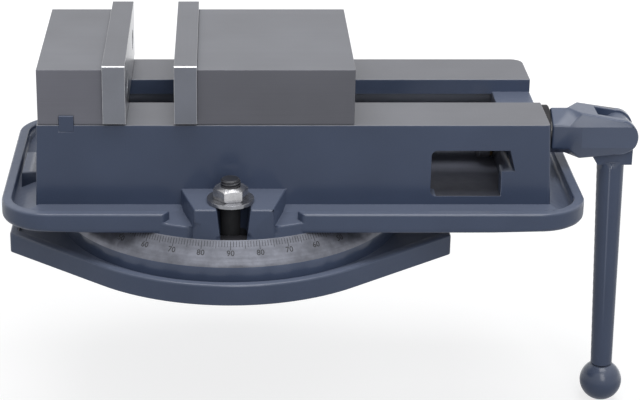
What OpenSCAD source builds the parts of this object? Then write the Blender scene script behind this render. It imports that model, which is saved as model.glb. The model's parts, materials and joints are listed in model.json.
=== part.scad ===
// Machine vise on a graduated swivel base, with a folding crank handle.
// The origin is the swivel axis on the underside of the base. +X points along the screw towards the
// crank, +Y away from the operator and +Z up. All sizes are millimetres.

/* [Swivel base] */
// Reach of the base's round middle beyond the wall of the turntable
base_flange = 13; // [8:0.5:20]
// Reach of the clamping ears beyond the base's round middle
ear_reach = 22; // [16:1:30]
// Half width of the end of the ear below the fixed jaw
ear_half_w = 48; // [36:1:56]
// Half width of the end of the ear towards the crank
crank_ear_half_w = 52.5; // [36:0.5:56]
// Radius of the corners of the ears
ear_corner_r = 4; // [2:0.5:10]
// Thickness of the plate of the base
base_plate_t = 12; // [10:0.5:15]
// Height that the rim stands above the plate
base_rim_h = 3.7; // [2:0.1:6]
// Width of the rim of the base
base_rim_w = 6.5; // [4:0.5:10]
// Run of the scale cone outside the bed's foot
cone_run = 12; // [9:0.5:15]
// Height of the base up to the lower edge of the scale cone
scale_foot_h = 23.2; // [20:0.1:28]
// Height of the base up to the face that the bed turns on
base_h = 38.9; // [36:0.1:44]
// Reach of the bed's round foot beyond the axis of the clamping bolts
foot_margin = 15.8; // [15:0.1:20]
// Width of the open slots in the ears
ear_slot_w = 17; // [13:1:19]
// Length of the open slots in the ears, from the end to the middle of their round end
ear_slot_l = 21; // [16:1:24]
// Width of the gap that the clamping pads leave in the rim
ear_pad_w = 44; // [34:1:56]
// Width of the keyways under the base
keyway_w = 14; // [10:1:18]
// Depth of the keyways under the base
keyway_depth = 5; // [3:0.5:7]
// Length of each keyway
keyway_l = 50; // [30:1:54]

/* [Swivel clamp] */
// Distance from the side of the bed to the axis of the clamping bolts
clamp_side = 23.6; // [21:0.1:26]
// Diameter of the clamping bolts
clamp_bolt_d = 14; // [10:1:16]
// Width of the neck of the circular T-slot
tee_neck_w = 15.4; // [15:0.1:18]
// Depth of the neck of the circular T-slot
tee_neck_depth = 12; // [9:0.5:13]
// Width of the wide part of the circular T-slot
tee_w = 24; // [22:0.5:26]
// Height of the wide part of the circular T-slot
tee_h = 10; // [8:0.5:11]
// Height that the clamping bolts reach above the base's turning face
clamp_bolt_rise = 40.4; // [39:0.1:50]
// Diameter of the clamp washers
washer_d = 33.2; // [28:0.1:36]
// Thickness of the clamp washers
washer_t = 3; // [2:0.5:4]
// Width across the flats of the clamp nuts
nut_flats = 22; // [18:1:24]
// Height of the clamp nuts
nut_h = 9.4; // [8:0.1:14]
// Width of the sloping chamfer round the clamp nuts' top, on their flats
nut_chamfer = 2.6; // [0.5:0.1:3]
// Diameter of the centre post that the bed turns on
post_d = 30; // [20:1:40]

/* [Bed] */
// Thickness of the round foot that the bed turns on
foot_t = 8.6; // [6:0.1:10]
// Length of the bed
bed_l = 362.2; // [350:1:380]
// Reach of the bed beyond the fixed jaw
bed_end_margin = 0.85; // [0.5:0.05:4]
// Draft of the bed's end below the fixed jaw, from the ways down to the tray
bed_end_draft = 2.4; // [0.5:0.1:4]
// Width of the bed
bed_w = 151.2; // [140:1:156]
// Height of the ways above the base's turning face
bed_h = 71; // [68:0.5:80]
// Width of the slot between the ways
way_slot_w = 52; // [44:1:56]
// Thickness of the lips of the ways beside the slot
way_lip_t = 11.3; // [8:0.1:12]
// Width of the guide space for the nut under the lips
guide_w = 60; // [58:1:86]
// Height of the guide space under the lips
guide_h = 12; // [8:0.5:14]
// Width of the chip chamber below the guide
chamber_w = 124; // [110:1:128]
// Thickness of the bed's bottom under the chip chamber
bed_floor_t = 17.6; // [15:0.1:20]
// Length of the solid end of the bed that carries the fixed jaw
bed_head_l = 56; // [52:1:58]
// Thickness of the end wall that carries the screw
end_wall_t = 28.4; // [24:0.1:32]
// Drop from the ways to the top of the end wall
end_wall_drop = 9.7; // [6:0.1:11]
// Radius of the back corner of the bed's crank end
bed_corner_r = 9; // [4:0.5:14]
// Radius of the front corner of the bed's crank end
front_corner_r = 2.5; // [1:0.5:8]
// Height of the screw's axis above the base's turning face
screw_h = 40.1; // [38:0.1:44]

/* [Chip window] */
// Distance from the bed's crank end to the far side of the window
window_far = 82.9; // [76:0.1:90]
// Distance from the bed's crank end to the near side of the window
window_near = 32.7; // [30:0.1:40]
// Height of the bottom of the window above the base's turning face
window_low = 17.6; // [16:0.1:22]
// Height of the top of the window above the base's turning face
window_high = 51.9; // [46:0.1:54]
// Height of the window's step above the base's turning face
window_step = 36.2; // [30:0.1:42]
// Reach of the step beyond the near side
window_step_l = 9.6; // [6:0.1:12]
// Slant of the step's end
window_slant = 4.3; // [2:0.1:6]
// Radius of the window's far corners
window_corner_r = 4; // [2:0.5:8]

/* [Tray] */
// Reach of the tray beyond the fixed jaw's end of the bed
tray_left = 27.2; // [20:0.1:36]
// Reach of the tray beyond the crank end of the bed
tray_right = 28; // [20:0.1:38]
// Reach of the tray beyond each side of the bed
tray_side = 28; // [24:0.5:34]
// Radius of the tray's corners
tray_corner_r = 35; // [20:1:40]
// Height of the tray's rim above the base's turning face
tray_h = 14.9; // [12:0.1:18]
// Height of the tray's floor at the bed above the base's turning face
tray_high = 11.1; // [9:0.1:11.9]
// Height of the tray's floor at its rim above the base's turning face
tray_low = 4.6; // [3.5:0.1:8]
// Width of the tray's rim
tray_rim_w = 7.5; // [5:0.1:10]
// Width of the flat pad at the fixed jaw's end
pad_w = 42; // [30:1:50]
// Run of the pad's sloping sides
pad_slope = 8; // [4:1:16]
// Gap between the pad and the tray's rim
pad_gap = 2.6; // [1:0.1:5]

/* [Clamp bosses] */
// Height of the clamp bosses above the base's turning face
boss_h = 23.1; // [20:0.1:26]
// Width of a boss where it meets the bed
boss_root_w = 75; // [66:1:84]
// Width of a boss at its outer face
boss_face_w = 55; // [46:1:64]
// Reach of a boss beyond the axis of its clamping bolt
boss_wall = 16.3; // [12:0.1:20]
// Width of a boss's slot at the bottom
boss_slot_low_w = 18.6; // [17:0.1:20]
// Width of a boss's slot at the top
boss_slot_high_w = 23.6; // [21:0.1:26]
// Offset of the front boss from the swivel axis towards the crank; the back boss lies the other way
boss_shift = 2.1; // [-3:0.1:3]
// Width of the gap in the tray's rim round a boss
rim_gap_w = 98; // [90:1:112]
// Slant of each end of that gap, which is narrower inside the rim
rim_gap_slant = 4.5; // [1:0.5:8]

/* [Jaws] */
// Place of the fixed jaw plate's face along the screw
jaw_face_x = -73.6; // [-76:0.1:-70]
// Opening between the jaw plates at rest
opening = 34.1; // [20:0.1:40]
// Width of the jaw blocks
jaw_w = 148.3; // [138:0.1:150]
// Height of the jaw blocks above the ways
jaw_h = 40.6; // [36:0.1:46]
// Length of the fixed jaw block
fixed_jaw_l = 46.3; // [42:0.1:48]
// Length of the movable jaw block
movable_jaw_l = 110.8; // [104:0.1:116]
// Width of the jaw plates
plate_w = 160; // [150:1:170]
// Thickness of the jaw plates
plate_t = 16; // [14:0.5:18]
// Height of the jaw plates
plate_h = 42.8; // [38:0.1:46]
// Gap between the ways and the lower edge of the jaw plates
plate_lift = 2.5; // [1:0.1:4]
// Distance between the two screws of a jaw plate
plate_screw_pitch = 98; // [90:1:110]
// Diameter of the jaw plate screws
plate_screw_d = 10; // [8:1:12]
// Width of the cross key between the fixed jaw and the bed
key_w = 10.5; // [8:0.5:14]
// Height of the cross key above the ways
key_rise = 6.8; // [4:0.1:9]
// Depth of the cross key below the ways
key_sink = 4.9; // [3:0.1:8]
// Distance from the fixed jaw's outer face to the cross key
key_back = 14.9; // [10:0.1:18]
// Diameter of the bolts that hold the fixed jaw
jaw_bolt_d = 12; // [10:1:14]
// Distance between the bolts of the fixed jaw
jaw_bolt_pitch = 98; // [90:1:110]

/* [Screw] */
// Outer diameter of the screw's thread
screw_d = 25; // [22:1:26]
// Length of the thread
screw_thread_l = 229; // [226:1:240]
// Diameter of the screw's journal in the end wall
journal_d = 22; // [18:1:23]
// Diameter of the shoulder that bears on the thrust bearing
shoulder_d = 40; // [36:1:44]
// Thickness of the shoulder
shoulder_t = 6; // [4:0.5:8]
// Diameter of the balls of the thrust bearing
ball_d = 4; // [3:0.5:5]
// Number of balls in the thrust bearing
ball_count = 16; // [12:1:18]
// Thickness of each race of the thrust bearing
race_t = 2; // [1.5:0.1:2.5]
// Diameter of the black collar outside the end wall
collar_d = 38; // [34:1:42]
// Length of the black collar
collar_l = 10.5; // [8:0.1:14]

/* [Crank] */
// Width of the hub's hexagonal neck across its corners
hub_neck_d = 36; // [32:1:37]
// Length of the hub's neck
hub_neck_l = 12.6; // [10:0.1:16]
// Length of the hub's flare from neck to fork
hub_flare_l = 9.3; // [8:0.1:13]
// Width of the hub's fork
fork_w = 33; // [30:0.5:36]
// Height of the fork at its root
fork_h = 35.6; // [31:0.1:37]
// Height of the fork at its pin
fork_pin_h = 25.6; // [24:0.1:30]
// Extra depth of the fork's underside at its pin
fork_sag = 1.8; // [0:0.1:3]
// Width of the fork's flat top and bottom
fork_flat_w = 26; // [22:0.5:28]
// Height of the fork's flat sides
fork_side_h = 16; // [12:0.5:20]
// Distance from the hub's inner end to the fork's pin
fork_pin_x = 51; // [46:0.5:54]
// Width of the fork's slot
fork_slot_w = 17; // [15:0.5:19]
// Reach of the slot behind the pin
fork_slot_back = 17; // [16:0.5:19]
// Diameter of the fork's pin
fork_pin_d = 8; // [6:0.5:10]
// Radius of the rounded top of the handle's head
head_r = 11; // [9:0.5:12]
// Reach of the handle's head towards the bed
head_back = 16.6; // [14:0.1:16.6]
// Distance from the fork's pin down to the bottom of the handle's head
head_drop = 24.6; // [22:0.1:34]
// Reach of the lip at the back of the handle's head, below the fork
head_lip = 1.9; // [1:0.1:2.5]
// Distance from the fork's pin down to the tip of the lip
head_lip_drop = 18.2; // [18:0.1:20]
// Run of the slope from the tip of the lip to the bottom of the head
head_slope = 3.9; // [2:0.1:5]
// Diameter of the rod where it leaves the head
rod_top_d = 20.2; // [17:0.1:21]
// Diameter of the rod where it meets the ball
rod_low_d = 16.3; // [13:0.1:17]
// Offset of the rod's top from the fork's pin, towards the bed
rod_offset = 3.5; // [3:0.1:6]
// Distance from the fork's pin down to the ball's centre
ball_drop = 207.3; // [180:0.1:240]
// Outward lean of the rod in its length
rod_lean = 5.4; // [0:0.1:8]
// Diameter of the ball knob
knob_d = 32; // [28:1:38]

/* [Hidden] */
// Running clearance in radius between a shaft and its bore
run_fit = 0.05;
// Clearance in radius of a screw or pin in a hole of its own group
seat_fit = 0.03;
// Clearance between parts that slide or turn past each other
slide_gap = 0.3;
// Height that the bed's foot stands below its tray
foot_stand = 0.5;
// Turn in degrees by which the ears' sides start beyond their tangents' points
tangent_ease = 0.6;
// Overrun of every cut
overrun = 1;
$fn = 64;

// Circles round the swivel axis, from the bed outwards
clamp_circle_r = bed_w / 2 + clamp_side;
boss_reach = clamp_circle_r + boss_wall;
foot_r = clamp_circle_r + foot_margin;
table_r = foot_r + cone_run;
base_r = table_r + base_flange;
ear_x = base_r + ear_reach;

// Heights above the underside of the base
way_z = base_h + bed_h;
screw_z = base_h + screw_h;
boss_z = base_h + boss_h;
chamber_z = base_h + bed_floor_t;
lip_z = way_z - way_lip_t;
guide_z = lip_z - guide_h;

// Places along the screw
fixed_jaw_x = jaw_face_x - plate_t - fixed_jaw_l;
bed_x0 = fixed_jaw_x - bed_end_margin;
bed_x1 = bed_x0 + bed_l;
end_wall_x = bed_x1 - end_wall_t;
slot_x0 = bed_x0 + bed_head_l;
movable_plate_x = jaw_face_x + opening;
movable_jaw_x = movable_plate_x + plate_t;
// Depth of the ball grooves in the races
groove_depth = ball_d / 8;
bearing_t = 2 * race_t + ball_d - 2 * groove_depth;
shoulder_x = end_wall_x - bearing_t - shoulder_t;
collar_x = bed_x1 + slide_gap;
// Gap between the collar and the hub
hub_gap = 1.2;
hub_x = collar_x + collar_l + hub_gap;
fork_x = hub_x + hub_neck_l + hub_flare_l;
pin_x = hub_x + fork_pin_x;

// Thickness of the base under the centre post, and the post's rise into the bed
post_floor = 14;
post_rise = 14;
post_seat = base_h - post_floor;

// Coring under the base, outside a boss that carries the centre post
post_wall = 14;
core_inner_r = post_d / 2 + post_wall;
core_outer_r = clamp_circle_r - tee_w / 2 - base_plate_t;
core_top_z = base_h - tee_neck_depth - tee_h;
core_count = 6;
core_rib_t = base_plate_t * 0.7;

// Clamping bolts: square head in the T-slot
tee_z = base_h - tee_neck_depth;
tee_side_gap = tee_w / 24;
tee_head_w = tee_w - 2 * tee_side_gap;
tee_head_h = tee_h - tee_side_gap;
clamp_bolt_top = base_h + clamp_bolt_rise;
nut_turn = 10;
washer_z = boss_z;
nut_z = washer_z + washer_t;

// Tapped and clearance holes of the cap screws, as shares of the screw's diameter
cap_head_share = 1.5;
cap_height_share = 1;
cap_hex_share = 0.92;
cap_hex_depth_share = 0.5;
cap_room_share = 1.62;
plate_head_sink = plate_screw_d * 1.05;
plate_screw_l = plate_t - plate_head_sink + plate_screw_d * 1.6;
jaw_bolt_seat = bed_h * 0.42;
jaw_bolt_l = bed_h - jaw_bolt_seat + jaw_bolt_d * 1.4;
jaw_bolt_x = jaw_face_x - plate_t - jaw_bolt_d * 0.9;
plate_screw_z = way_z + plate_lift + plate_h / 2;
fixed_plate_x = jaw_face_x - plate_t;

// Wedge drive of the movable jaw, measured from the front face of its block.
// The shelf is the slope that the half ball presses on.
shelf_x = movable_jaw_l * 0.343;
pocket_back = movable_jaw_l * 0.76;
pocket_h = jaw_h * 0.69;
pocket_w = way_slot_w * 0.85;
half_ball_r = pocket_w * 0.23;
wedge_gap = slide_gap * 2;
nut_front = movable_jaw_l * 0.2;
nut_back = pocket_back;
nose_back = movable_jaw_l * 0.56;
nose_h = pocket_h - wedge_gap * 5;
nose_w = pocket_w - 2 * wedge_gap;
neck_w = way_slot_w - 2 * wedge_gap;
nut_w = guide_w - 4 * wedge_gap;
nut_low = screw_d * 0.7;
nut_top_z = lip_z - wedge_gap;
push_screw_d = plate_screw_d;
push_screw_z = way_z + pocket_h * 0.42;
set_screw_d = screw_d / 5;

// Handle: its head, its rod and the spigot in the ball
head_w = fork_slot_w - 2 * slide_gap;
rod_x = pin_x - rod_offset;
rod_top_z = screw_z - head_drop;
knob_z = screw_z - ball_drop;
knob_x = rod_x + rod_lean;
rod_l = norm([rod_lean, rod_top_z - knob_z]);
rod_tilt = atan2(rod_lean, rod_top_z - knob_z);
spigot_d = rod_low_d * 0.66;
knob_seat = knob_d * 0.44;
spigot_l = knob_seat * 0.95;

// Turns a shape drawn along +Z so that it points along +X
module along_x() {
    rotate([0, 90, 0]) children();
}

// Extrudes an outline drawn in X and Z through the width w, centred on Y
module across(w) {
    translate([0, w / 2, 0]) rotate([90, 0, 0]) linear_extrude(w) children();
}

// Repeats a shape at plus and minus y
module both_sides(y) {
    for (side = [-1, 1]) translate([0, side * y, 0]) children();
}

// Repeats a shape in front and, turned half a turn about the swivel axis, behind
module front_and_back() {
    for (turn = [0, 180]) rotate(turn) children();
}

// Rectangle from x0 to x1 and of width w, with round corners of radius r
module round_rect(x0, x1, w, r) {
    translate([x0 + r, -w / 2]) square([x1 - x0 - 2 * r, w]);
    translate([x0, -w / 2 + r]) square([x1 - x0, w - 2 * r]);
    for (x = [x0 + r, x1 - r], y = [-w / 2 + r, w / 2 - r]) translate([x, y]) circle(r);
}

// Socket head cap screw along +Z, with the underside of its head at zero and its shank below
module cap_screw(d, l) {
    difference() {
        union() {
            cylinder(h = d * cap_height_share, d = d * cap_head_share);
            translate([0, 0, -l]) cylinder(h = l, d = d);
        }
        translate([0, 0, d * (cap_height_share - cap_hex_depth_share)])
            cylinder(h = d * cap_hex_depth_share + overrun, d = d * cap_hex_share, $fn = 6);
    }
}

// Headless screw along +Z with a hexagon socket in its upper end
module set_screw(d, l) {
    difference() {
        cylinder(h = l, d = d);
        translate([0, 0, l - d * cap_hex_depth_share])
            cylinder(h = d * cap_hex_depth_share + overrun, d = d * cap_hex_share * 0.6, $fn = 6);
    }
}

// Plan of the base, drawn in by inset: a disc whose tangents run to the corners of both ears
module base_plan(inset) {
    circle(base_r - inset);
    scale([-1, 1]) ear_plan(inset, ear_half_w);
    ear_plan(inset, crank_ear_half_w);
}

// Plan of one ear, from the disc to the ear's end of half width half_w. Its sides start a little
// beyond the tangents' points, so that they cross the disc cleanly.
module ear_plan(inset, half_w) {
    r = base_r - inset;
    corner = [ear_x - ear_corner_r, half_w - ear_corner_r];
    corner_r = max(ear_corner_r - inset, ear_corner_r / 4);
    reach = corner + (ear_corner_r - inset - corner_r) * [1, 1];
    tangent = atan2(reach.y, reach.x) + acos((r - corner_r) / norm(reach));
    normal = [cos(tangent), sin(tangent)];
    start = [cos(tangent + tangent_ease), sin(tangent + tangent_ease)];
    polygon([
        for (sy = [1, -1]) each [
            for (p = sy > 0 ? [0, 1, 2] : [2, 1, 0])
                let (q = p == 0 ? r * start : p == 1 ? reach + corner_r * normal
                    : reach + [corner_r, 0])
                [q.x, sy * q.y]
        ]
    ]);
    for (y = [-reach.y, reach.y]) translate([reach.x, y]) circle(corner_r);
}

// Half section of the turntable with its scale cone
module table_section() {
    polygon([
        [0, 0], [table_r, 0], [table_r, scale_foot_h], [foot_r, base_h], [0, base_h]
    ]);
}

// Section of the circular T-slot
module tee_section() {
    translate([clamp_circle_r - tee_neck_w / 2, tee_z - overrun])
        square([tee_neck_w, tee_neck_depth + 2 * overrun]);
    translate([clamp_circle_r - tee_w / 2, tee_z - tee_h]) square([tee_w, tee_h]);
}

module swivel_base() color([0.25, 0.29, 0.36]) {
    difference() {
        union() {
            linear_extrude(base_plate_t) base_plan(0);
            difference() {
                linear_extrude(base_plate_t + base_rim_h) base_plan(0);
                translate([0, 0, base_plate_t]) linear_extrude(base_rim_h + overrun)
                    base_plan(base_rim_w);
                for (turn = [0, 180]) rotate(turn) translate([base_r, -ear_pad_w / 2, base_plate_t])
                    cube([ear_x, ear_pad_w, base_rim_h + overrun]);
            }
            rotate_extrude($fn = 180) table_section();
        }
        rotate_extrude($fn = 180) tee_section();
        // Round hole where the heads of the clamping bolts enter the T-slot
        rotate(45) translate([clamp_circle_r, 0, tee_z - tee_h])
            cylinder(h = base_h, d = tee_w * 1.1);
        // Seat of the centre post
        translate([0, 0, base_h - post_seat]) cylinder(h = base_h, d = post_d + 2 * seat_fit);
        // Open slots of the ears
        for (turn = [0, 180]) rotate(turn) translate([ear_x - ear_slot_l, 0, -overrun]) {
            cylinder(h = base_h, d = ear_slot_w);
            translate([0, -ear_slot_w / 2, 0]) cube([ear_x, ear_slot_w, base_h]);
        }
        // Keyways
        for (turn = [0, 180]) rotate(turn)
            translate([core_outer_r - core_rib_t, -keyway_w / 2, -overrun])
                cube([keyway_l, keyway_w, keyway_depth + overrun]);
        // Coring between the ribs
        for (i = [0:core_count - 1]) rotate((i + 0.5) * 360 / core_count)
            intersection() {
                translate([0, 0, -overrun]) difference() {
                    cylinder(h = core_top_z + overrun, r = core_outer_r);
                    translate([0, 0, -overrun]) cylinder(h = base_h, r = core_inner_r);
                }
                linear_extrude(base_h, center = true) core_plan();
            }
    }
}

// Wedge between two ribs of the base
module core_plan() {
    half = 180 / core_count;
    apex = core_rib_t / 2 / sin(half);
    polygon([
        [apex, 0],
        [base_r * cos(half), (base_r * cos(half) - apex) * tan(half)],
        [base_r * cos(half), -(base_r * cos(half) - apex) * tan(half)]
    ]);
}

module pivot_post() color([0.62, 0.63, 0.65]) {
    chamfer = post_d / 20;
    translate([0, 0, base_h - post_seat]) {
        cylinder(h = post_seat + post_rise - chamfer, d = post_d);
        translate([0, 0, post_seat + post_rise - chamfer])
            cylinder(h = chamfer, d1 = post_d, d2 = post_d - 2 * chamfer);
    }
}

// Plan of the tray, drawn in by inset
module tray_plan(inset) {
    round_rect(bed_x0 - tray_left + inset, bed_x1 + tray_right - inset,
        bed_w + 2 * tray_side - 2 * inset, tray_corner_r - inset);
}

// Plan of the bed, with round corners at the crank end
module bed_plan() {
    translate([bed_x0, -bed_w / 2]) square([bed_l - front_corner_r, bed_w / 2]);
    translate([bed_x0, 0]) square([bed_l - bed_corner_r, bed_w / 2]);
    translate([bed_x0, front_corner_r - bed_w / 2])
        square([bed_l, bed_w - front_corner_r - bed_corner_r]);
    translate([bed_x1 - front_corner_r, front_corner_r - bed_w / 2]) circle(front_corner_r);
    translate([bed_x1 - bed_corner_r, bed_w / 2 - bed_corner_r]) circle(bed_corner_r);
}

// Outline of the chip window in X and Z
module window_outline() {
    far = bed_x1 - window_far;
    near = bed_x1 - window_near;
    r = window_corner_r;
    low = base_h + window_low;
    high = base_h + window_high;
    step = base_h + window_step;
    polygon([
        [far + r, low], [near, low], [near, step], [near + window_step_l, step],
        [near + window_step_l - window_slant, high], [far + r, high]
    ]);
    translate([far, low + r]) square([2 * r, high - low - 2 * r]);
    for (z = [low + r, high - r]) translate([far + r, z]) circle(r);
}

// Boss in front of the bed, without its slot. Its face is straight at the top, and below it draws
// back to the round foot, so that it doesn't hang over the scale.
module boss_block() {
    top_r = norm([boss_face_w / 2 + abs(boss_shift), boss_reach]);
    intersection() {
        translate([boss_shift, 0, base_h]) linear_extrude(boss_h) polygon([
            [-boss_root_w / 2, -bed_w / 2], [boss_root_w / 2, -bed_w / 2],
            [boss_face_w / 2, -boss_reach], [-boss_face_w / 2, -boss_reach]
        ]);
        translate([0, 0, base_h]) cylinder(h = boss_h, r1 = foot_r, r2 = top_r, $fn = 180);
    }
}

// Draft on the bed's end below the fixed jaw
module end_draft() {
    across(bed_w) polygon([
        [bed_x0, base_h + tray_low], [bed_x0, way_z], [bed_x0 - bed_end_draft, base_h + tray_low]
    ]);
}

// Slot of the boss, wider at the top, with a round inner end
module boss_slot() {
    grow = (boss_slot_high_w - boss_slot_low_w) / boss_h;
    low = boss_slot_low_w / 2 - grow * overrun / 2;
    high = boss_slot_high_w / 2 + grow * overrun / 2;
    translate([boss_shift, -clamp_circle_r - boss_reach / 2, 0]) across(boss_reach) polygon([
        [-low, base_h - overrun], [low, base_h - overrun],
        [high, boss_z + overrun], [-high, boss_z + overrun]
    ]);
    translate([boss_shift, -clamp_circle_r, base_h - overrun])
        cylinder(h = boss_h + 2 * overrun, d1 = 2 * low, d2 = 2 * high);
}

// Pad with sloping sides across the tray's channel at the fixed jaw's end
module end_pad() {
    x0 = bed_x0 - tray_left + tray_rim_w + pad_gap;
    top = base_h + tray_h;
    low = base_h + tray_low;
    translate([x0, 0, 0]) rotate([90, 0, 90]) linear_extrude(bed_x0 - x0 + overrun) polygon([
        [-pad_w / 2 - pad_slope, low], [pad_w / 2 + pad_slope, low],
        [pad_w / 2, top], [-pad_w / 2, top]
    ]);
}

// Section of the tray's floor: level between a and b, where the bed stands, and sloping down from
// there to the rims, which lie at the distances left and right
module floor_section(a, b, left, right) {
    low = base_h + tray_low;
    high = base_h + tray_high;
    polygon([
        [a - left, base_h], [a - left, low], [a - left + tray_rim_w, low], [a, high],
        [b, high], [b + right - tray_rim_w, low], [b + right, low], [b + right, base_h]
    ]);
}

// Floor of the tray, hipped so that it drains to the rim on all four sides
module tray_floor() {
    intersection() {
        translate([0, 0, base_h + foot_stand]) linear_extrude(tray_h) tray_plan(0);
        across(bed_w + 2 * tray_side) floor_section(bed_x0, bed_x1, tray_left, tray_right);
        translate([bed_x0 - tray_left, 0, 0]) rotate([90, 0, 90])
            linear_extrude(tray_left + bed_l + tray_right)
                floor_section(-bed_w / 2, bed_w / 2, tray_side, tray_side);
    }
}

// Cut through the tray's front rim, down to the bed's foot
module rim_gap() {
    inner = bed_w / 2 + tray_side - tray_rim_w;
    outer = bed_w / 2 + tray_side;
    near = rim_gap_w / 2 - rim_gap_slant;
    far = rim_gap_w / 2;
    translate([boss_shift, 0, base_h + foot_t]) linear_extrude(tray_h) polygon([
        [-near, overrun - inner], [-near, -inner], [-far, -outer], [-far, -outer - overrun],
        [far, -outer - overrun], [far, -outer], [near, -inner], [near, overrun - inner]
    ]);
}

module vise_body() color([0.27, 0.31, 0.38]) {
    difference() {
        union() {
            translate([0, 0, base_h]) cylinder(h = foot_t, r = foot_r, $fn = 180);
            translate([0, 0, base_h]) linear_extrude(bed_h) bed_plan();
            tray_floor();
            difference() {
                translate([0, 0, base_h + foot_stand]) linear_extrude(tray_h - foot_stand) tray_plan(0);
                translate([0, 0, base_h]) linear_extrude(tray_h + overrun) tray_plan(tray_rim_w);
                front_and_back() rim_gap();
            }
            front_and_back() boss_block();
            end_pad();
            end_draft();
        }
        // Slot between the ways, guide space for the nut and chip chamber
        translate([slot_x0, -way_slot_w / 2, chamber_z])
            cube([end_wall_x - slot_x0, way_slot_w, way_z]);
        translate([slot_x0, -guide_w / 2, chamber_z])
            cube([end_wall_x - slot_x0, guide_w, lip_z - chamber_z]);
        translate([slot_x0, -chamber_w / 2, chamber_z])
            cube([end_wall_x - slot_x0, chamber_w, guide_z - chamber_z]);
        translate([end_wall_x - overrun, -way_slot_w / 2, way_z - end_wall_drop])
            cube([end_wall_t + 2 * overrun, way_slot_w, end_wall_drop + overrun]);
        translate([0, -(guide_w + bed_w) / 4, 0]) across((bed_w - guide_w) / 2 + 2 * overrun)
            window_outline();
        front_and_back() boss_slot();
        // Bore of the screw and of the centre post
        translate([end_wall_x - overrun, 0, screw_z]) along_x()
            cylinder(h = end_wall_t + 2 * overrun, d = journal_d + 2 * run_fit);
        translate([0, 0, base_h - overrun])
            cylinder(h = post_rise + slide_gap + overrun, d = post_d + 2 * run_fit);
        // Groove of the cross key
        translate([fixed_jaw_x + key_back, -bed_w, way_z - key_sink])
            cube([key_w, 2 * bed_w, key_sink + overrun]);
        // Holes of the fixed jaw's bolts, counterbored from below
        both_sides(jaw_bolt_pitch / 2) translate([jaw_bolt_x, 0, base_h]) {
            translate([0, 0, -overrun])
                cylinder(h = jaw_bolt_seat + overrun, d = jaw_bolt_d * cap_room_share);
            cylinder(h = bed_h + overrun, d = jaw_bolt_d + 2 * slide_gap);
        }
    }
}

module t_bolts() color([0.08, 0.08, 0.09]) {
    chamfer = clamp_bolt_d / 10;
    front_and_back() translate([0, -clamp_circle_r, 0]) {
        translate([-tee_head_w / 2, -tee_head_w / 2, tee_z - tee_head_h])
            cube([tee_head_w, tee_head_w, tee_head_h]);
        translate([0, 0, tee_z]) cylinder(h = clamp_bolt_top - tee_z - chamfer, d = clamp_bolt_d);
        translate([0, 0, clamp_bolt_top - chamfer])
            cylinder(h = chamfer, d1 = clamp_bolt_d, d2 = clamp_bolt_d - 2 * chamfer);
    }
}

module clamp_washers() color([0.75, 0.75, 0.76]) {
    front_and_back() translate([0, -clamp_circle_r, washer_z]) difference() {
        cylinder(h = washer_t, d = washer_d);
        translate([0, 0, -overrun])
            cylinder(h = washer_t + 2 * overrun, d = clamp_bolt_d + 2 * slide_gap);
    }
}

// Hexagon nut, chamfered above and below
module hex_nut(flats, h, bore) {
    corner_d = flats / cos(30);
    bevel = (corner_d - flats) / 2;
    top_d = max(flats - 2 * nut_chamfer, bore + nut_chamfer / 2);
    drop = (corner_d + bevel - top_d) / 2 * tan(30);
    difference() {
        intersection() {
            cylinder(h = h, d = corner_d, $fn = 6);
            union() {
                cylinder(h = bevel / 2, d1 = corner_d - bevel, d2 = corner_d);
                translate([0, 0, bevel / 2])
                    cylinder(h = h - drop - bevel / 2, d = corner_d + bevel);
                translate([0, 0, h - drop])
                    cylinder(h = drop, d1 = corner_d + bevel, d2 = top_d);
            }
        }
        translate([0, 0, -overrun]) cylinder(h = h + 2 * overrun, d = bore);
    }
}

module clamp_nut() {
    translate([0, -clamp_circle_r, nut_z]) rotate(nut_turn)
        hex_nut(nut_flats, nut_h, clamp_bolt_d + 2 * run_fit);
}

module clamp_nut_front() color([0.8, 0.8, 0.81]) clamp_nut();

module clamp_nut_back() color([0.8, 0.8, 0.81]) rotate(180) clamp_nut();

// Holes of a jaw plate's screws through anything, along X from x0 for the length l
module plate_holes(x0, l, d) {
    both_sides(plate_screw_pitch / 2) translate([x0, 0, plate_screw_z]) along_x()
        cylinder(h = l, d = d);
}

module fixed_jaw() color([0.5, 0.5, 0.53]) {
    difference() {
        translate([fixed_jaw_x, -jaw_w / 2, way_z]) cube([fixed_jaw_l, jaw_w, jaw_h]);
        translate([fixed_jaw_x + key_back, -jaw_w, way_z - overrun])
            cube([key_w, 2 * jaw_w, key_rise + overrun]);
        plate_holes(fixed_plate_x - plate_screw_l, plate_screw_l + overrun,
            plate_screw_d + 2 * seat_fit);
        both_sides(jaw_bolt_pitch / 2) translate([jaw_bolt_x, 0, way_z - overrun])
            cylinder(h = jaw_bolt_l - (bed_h - jaw_bolt_seat) + 2 * overrun,
                d = jaw_bolt_d + 2 * seat_fit);
    }
}

module jaw_key() color([0.27, 0.31, 0.38]) {
    translate([fixed_jaw_x + key_back, -bed_w / 2, way_z - key_sink])
        cube([key_w, bed_w, key_sink + key_rise]);
}

module fixed_jaw_bolts() color([0.12, 0.12, 0.13]) {
    both_sides(jaw_bolt_pitch / 2) translate([jaw_bolt_x, 0, base_h + jaw_bolt_seat])
        rotate([180, 0, 0]) cap_screw(jaw_bolt_d, jaw_bolt_l);
}

// Jaw plate whose back lies at x = 0 and whose face points along +X
module jaw_plate() {
    difference() {
        translate([0, -plate_w / 2, way_z + plate_lift]) cube([plate_t, plate_w, plate_h]);
        plate_holes(-overrun, plate_t, plate_screw_d + 2 * slide_gap);
        plate_holes(plate_t - plate_head_sink, plate_t, plate_screw_d * cap_room_share);
    }
}

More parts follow.
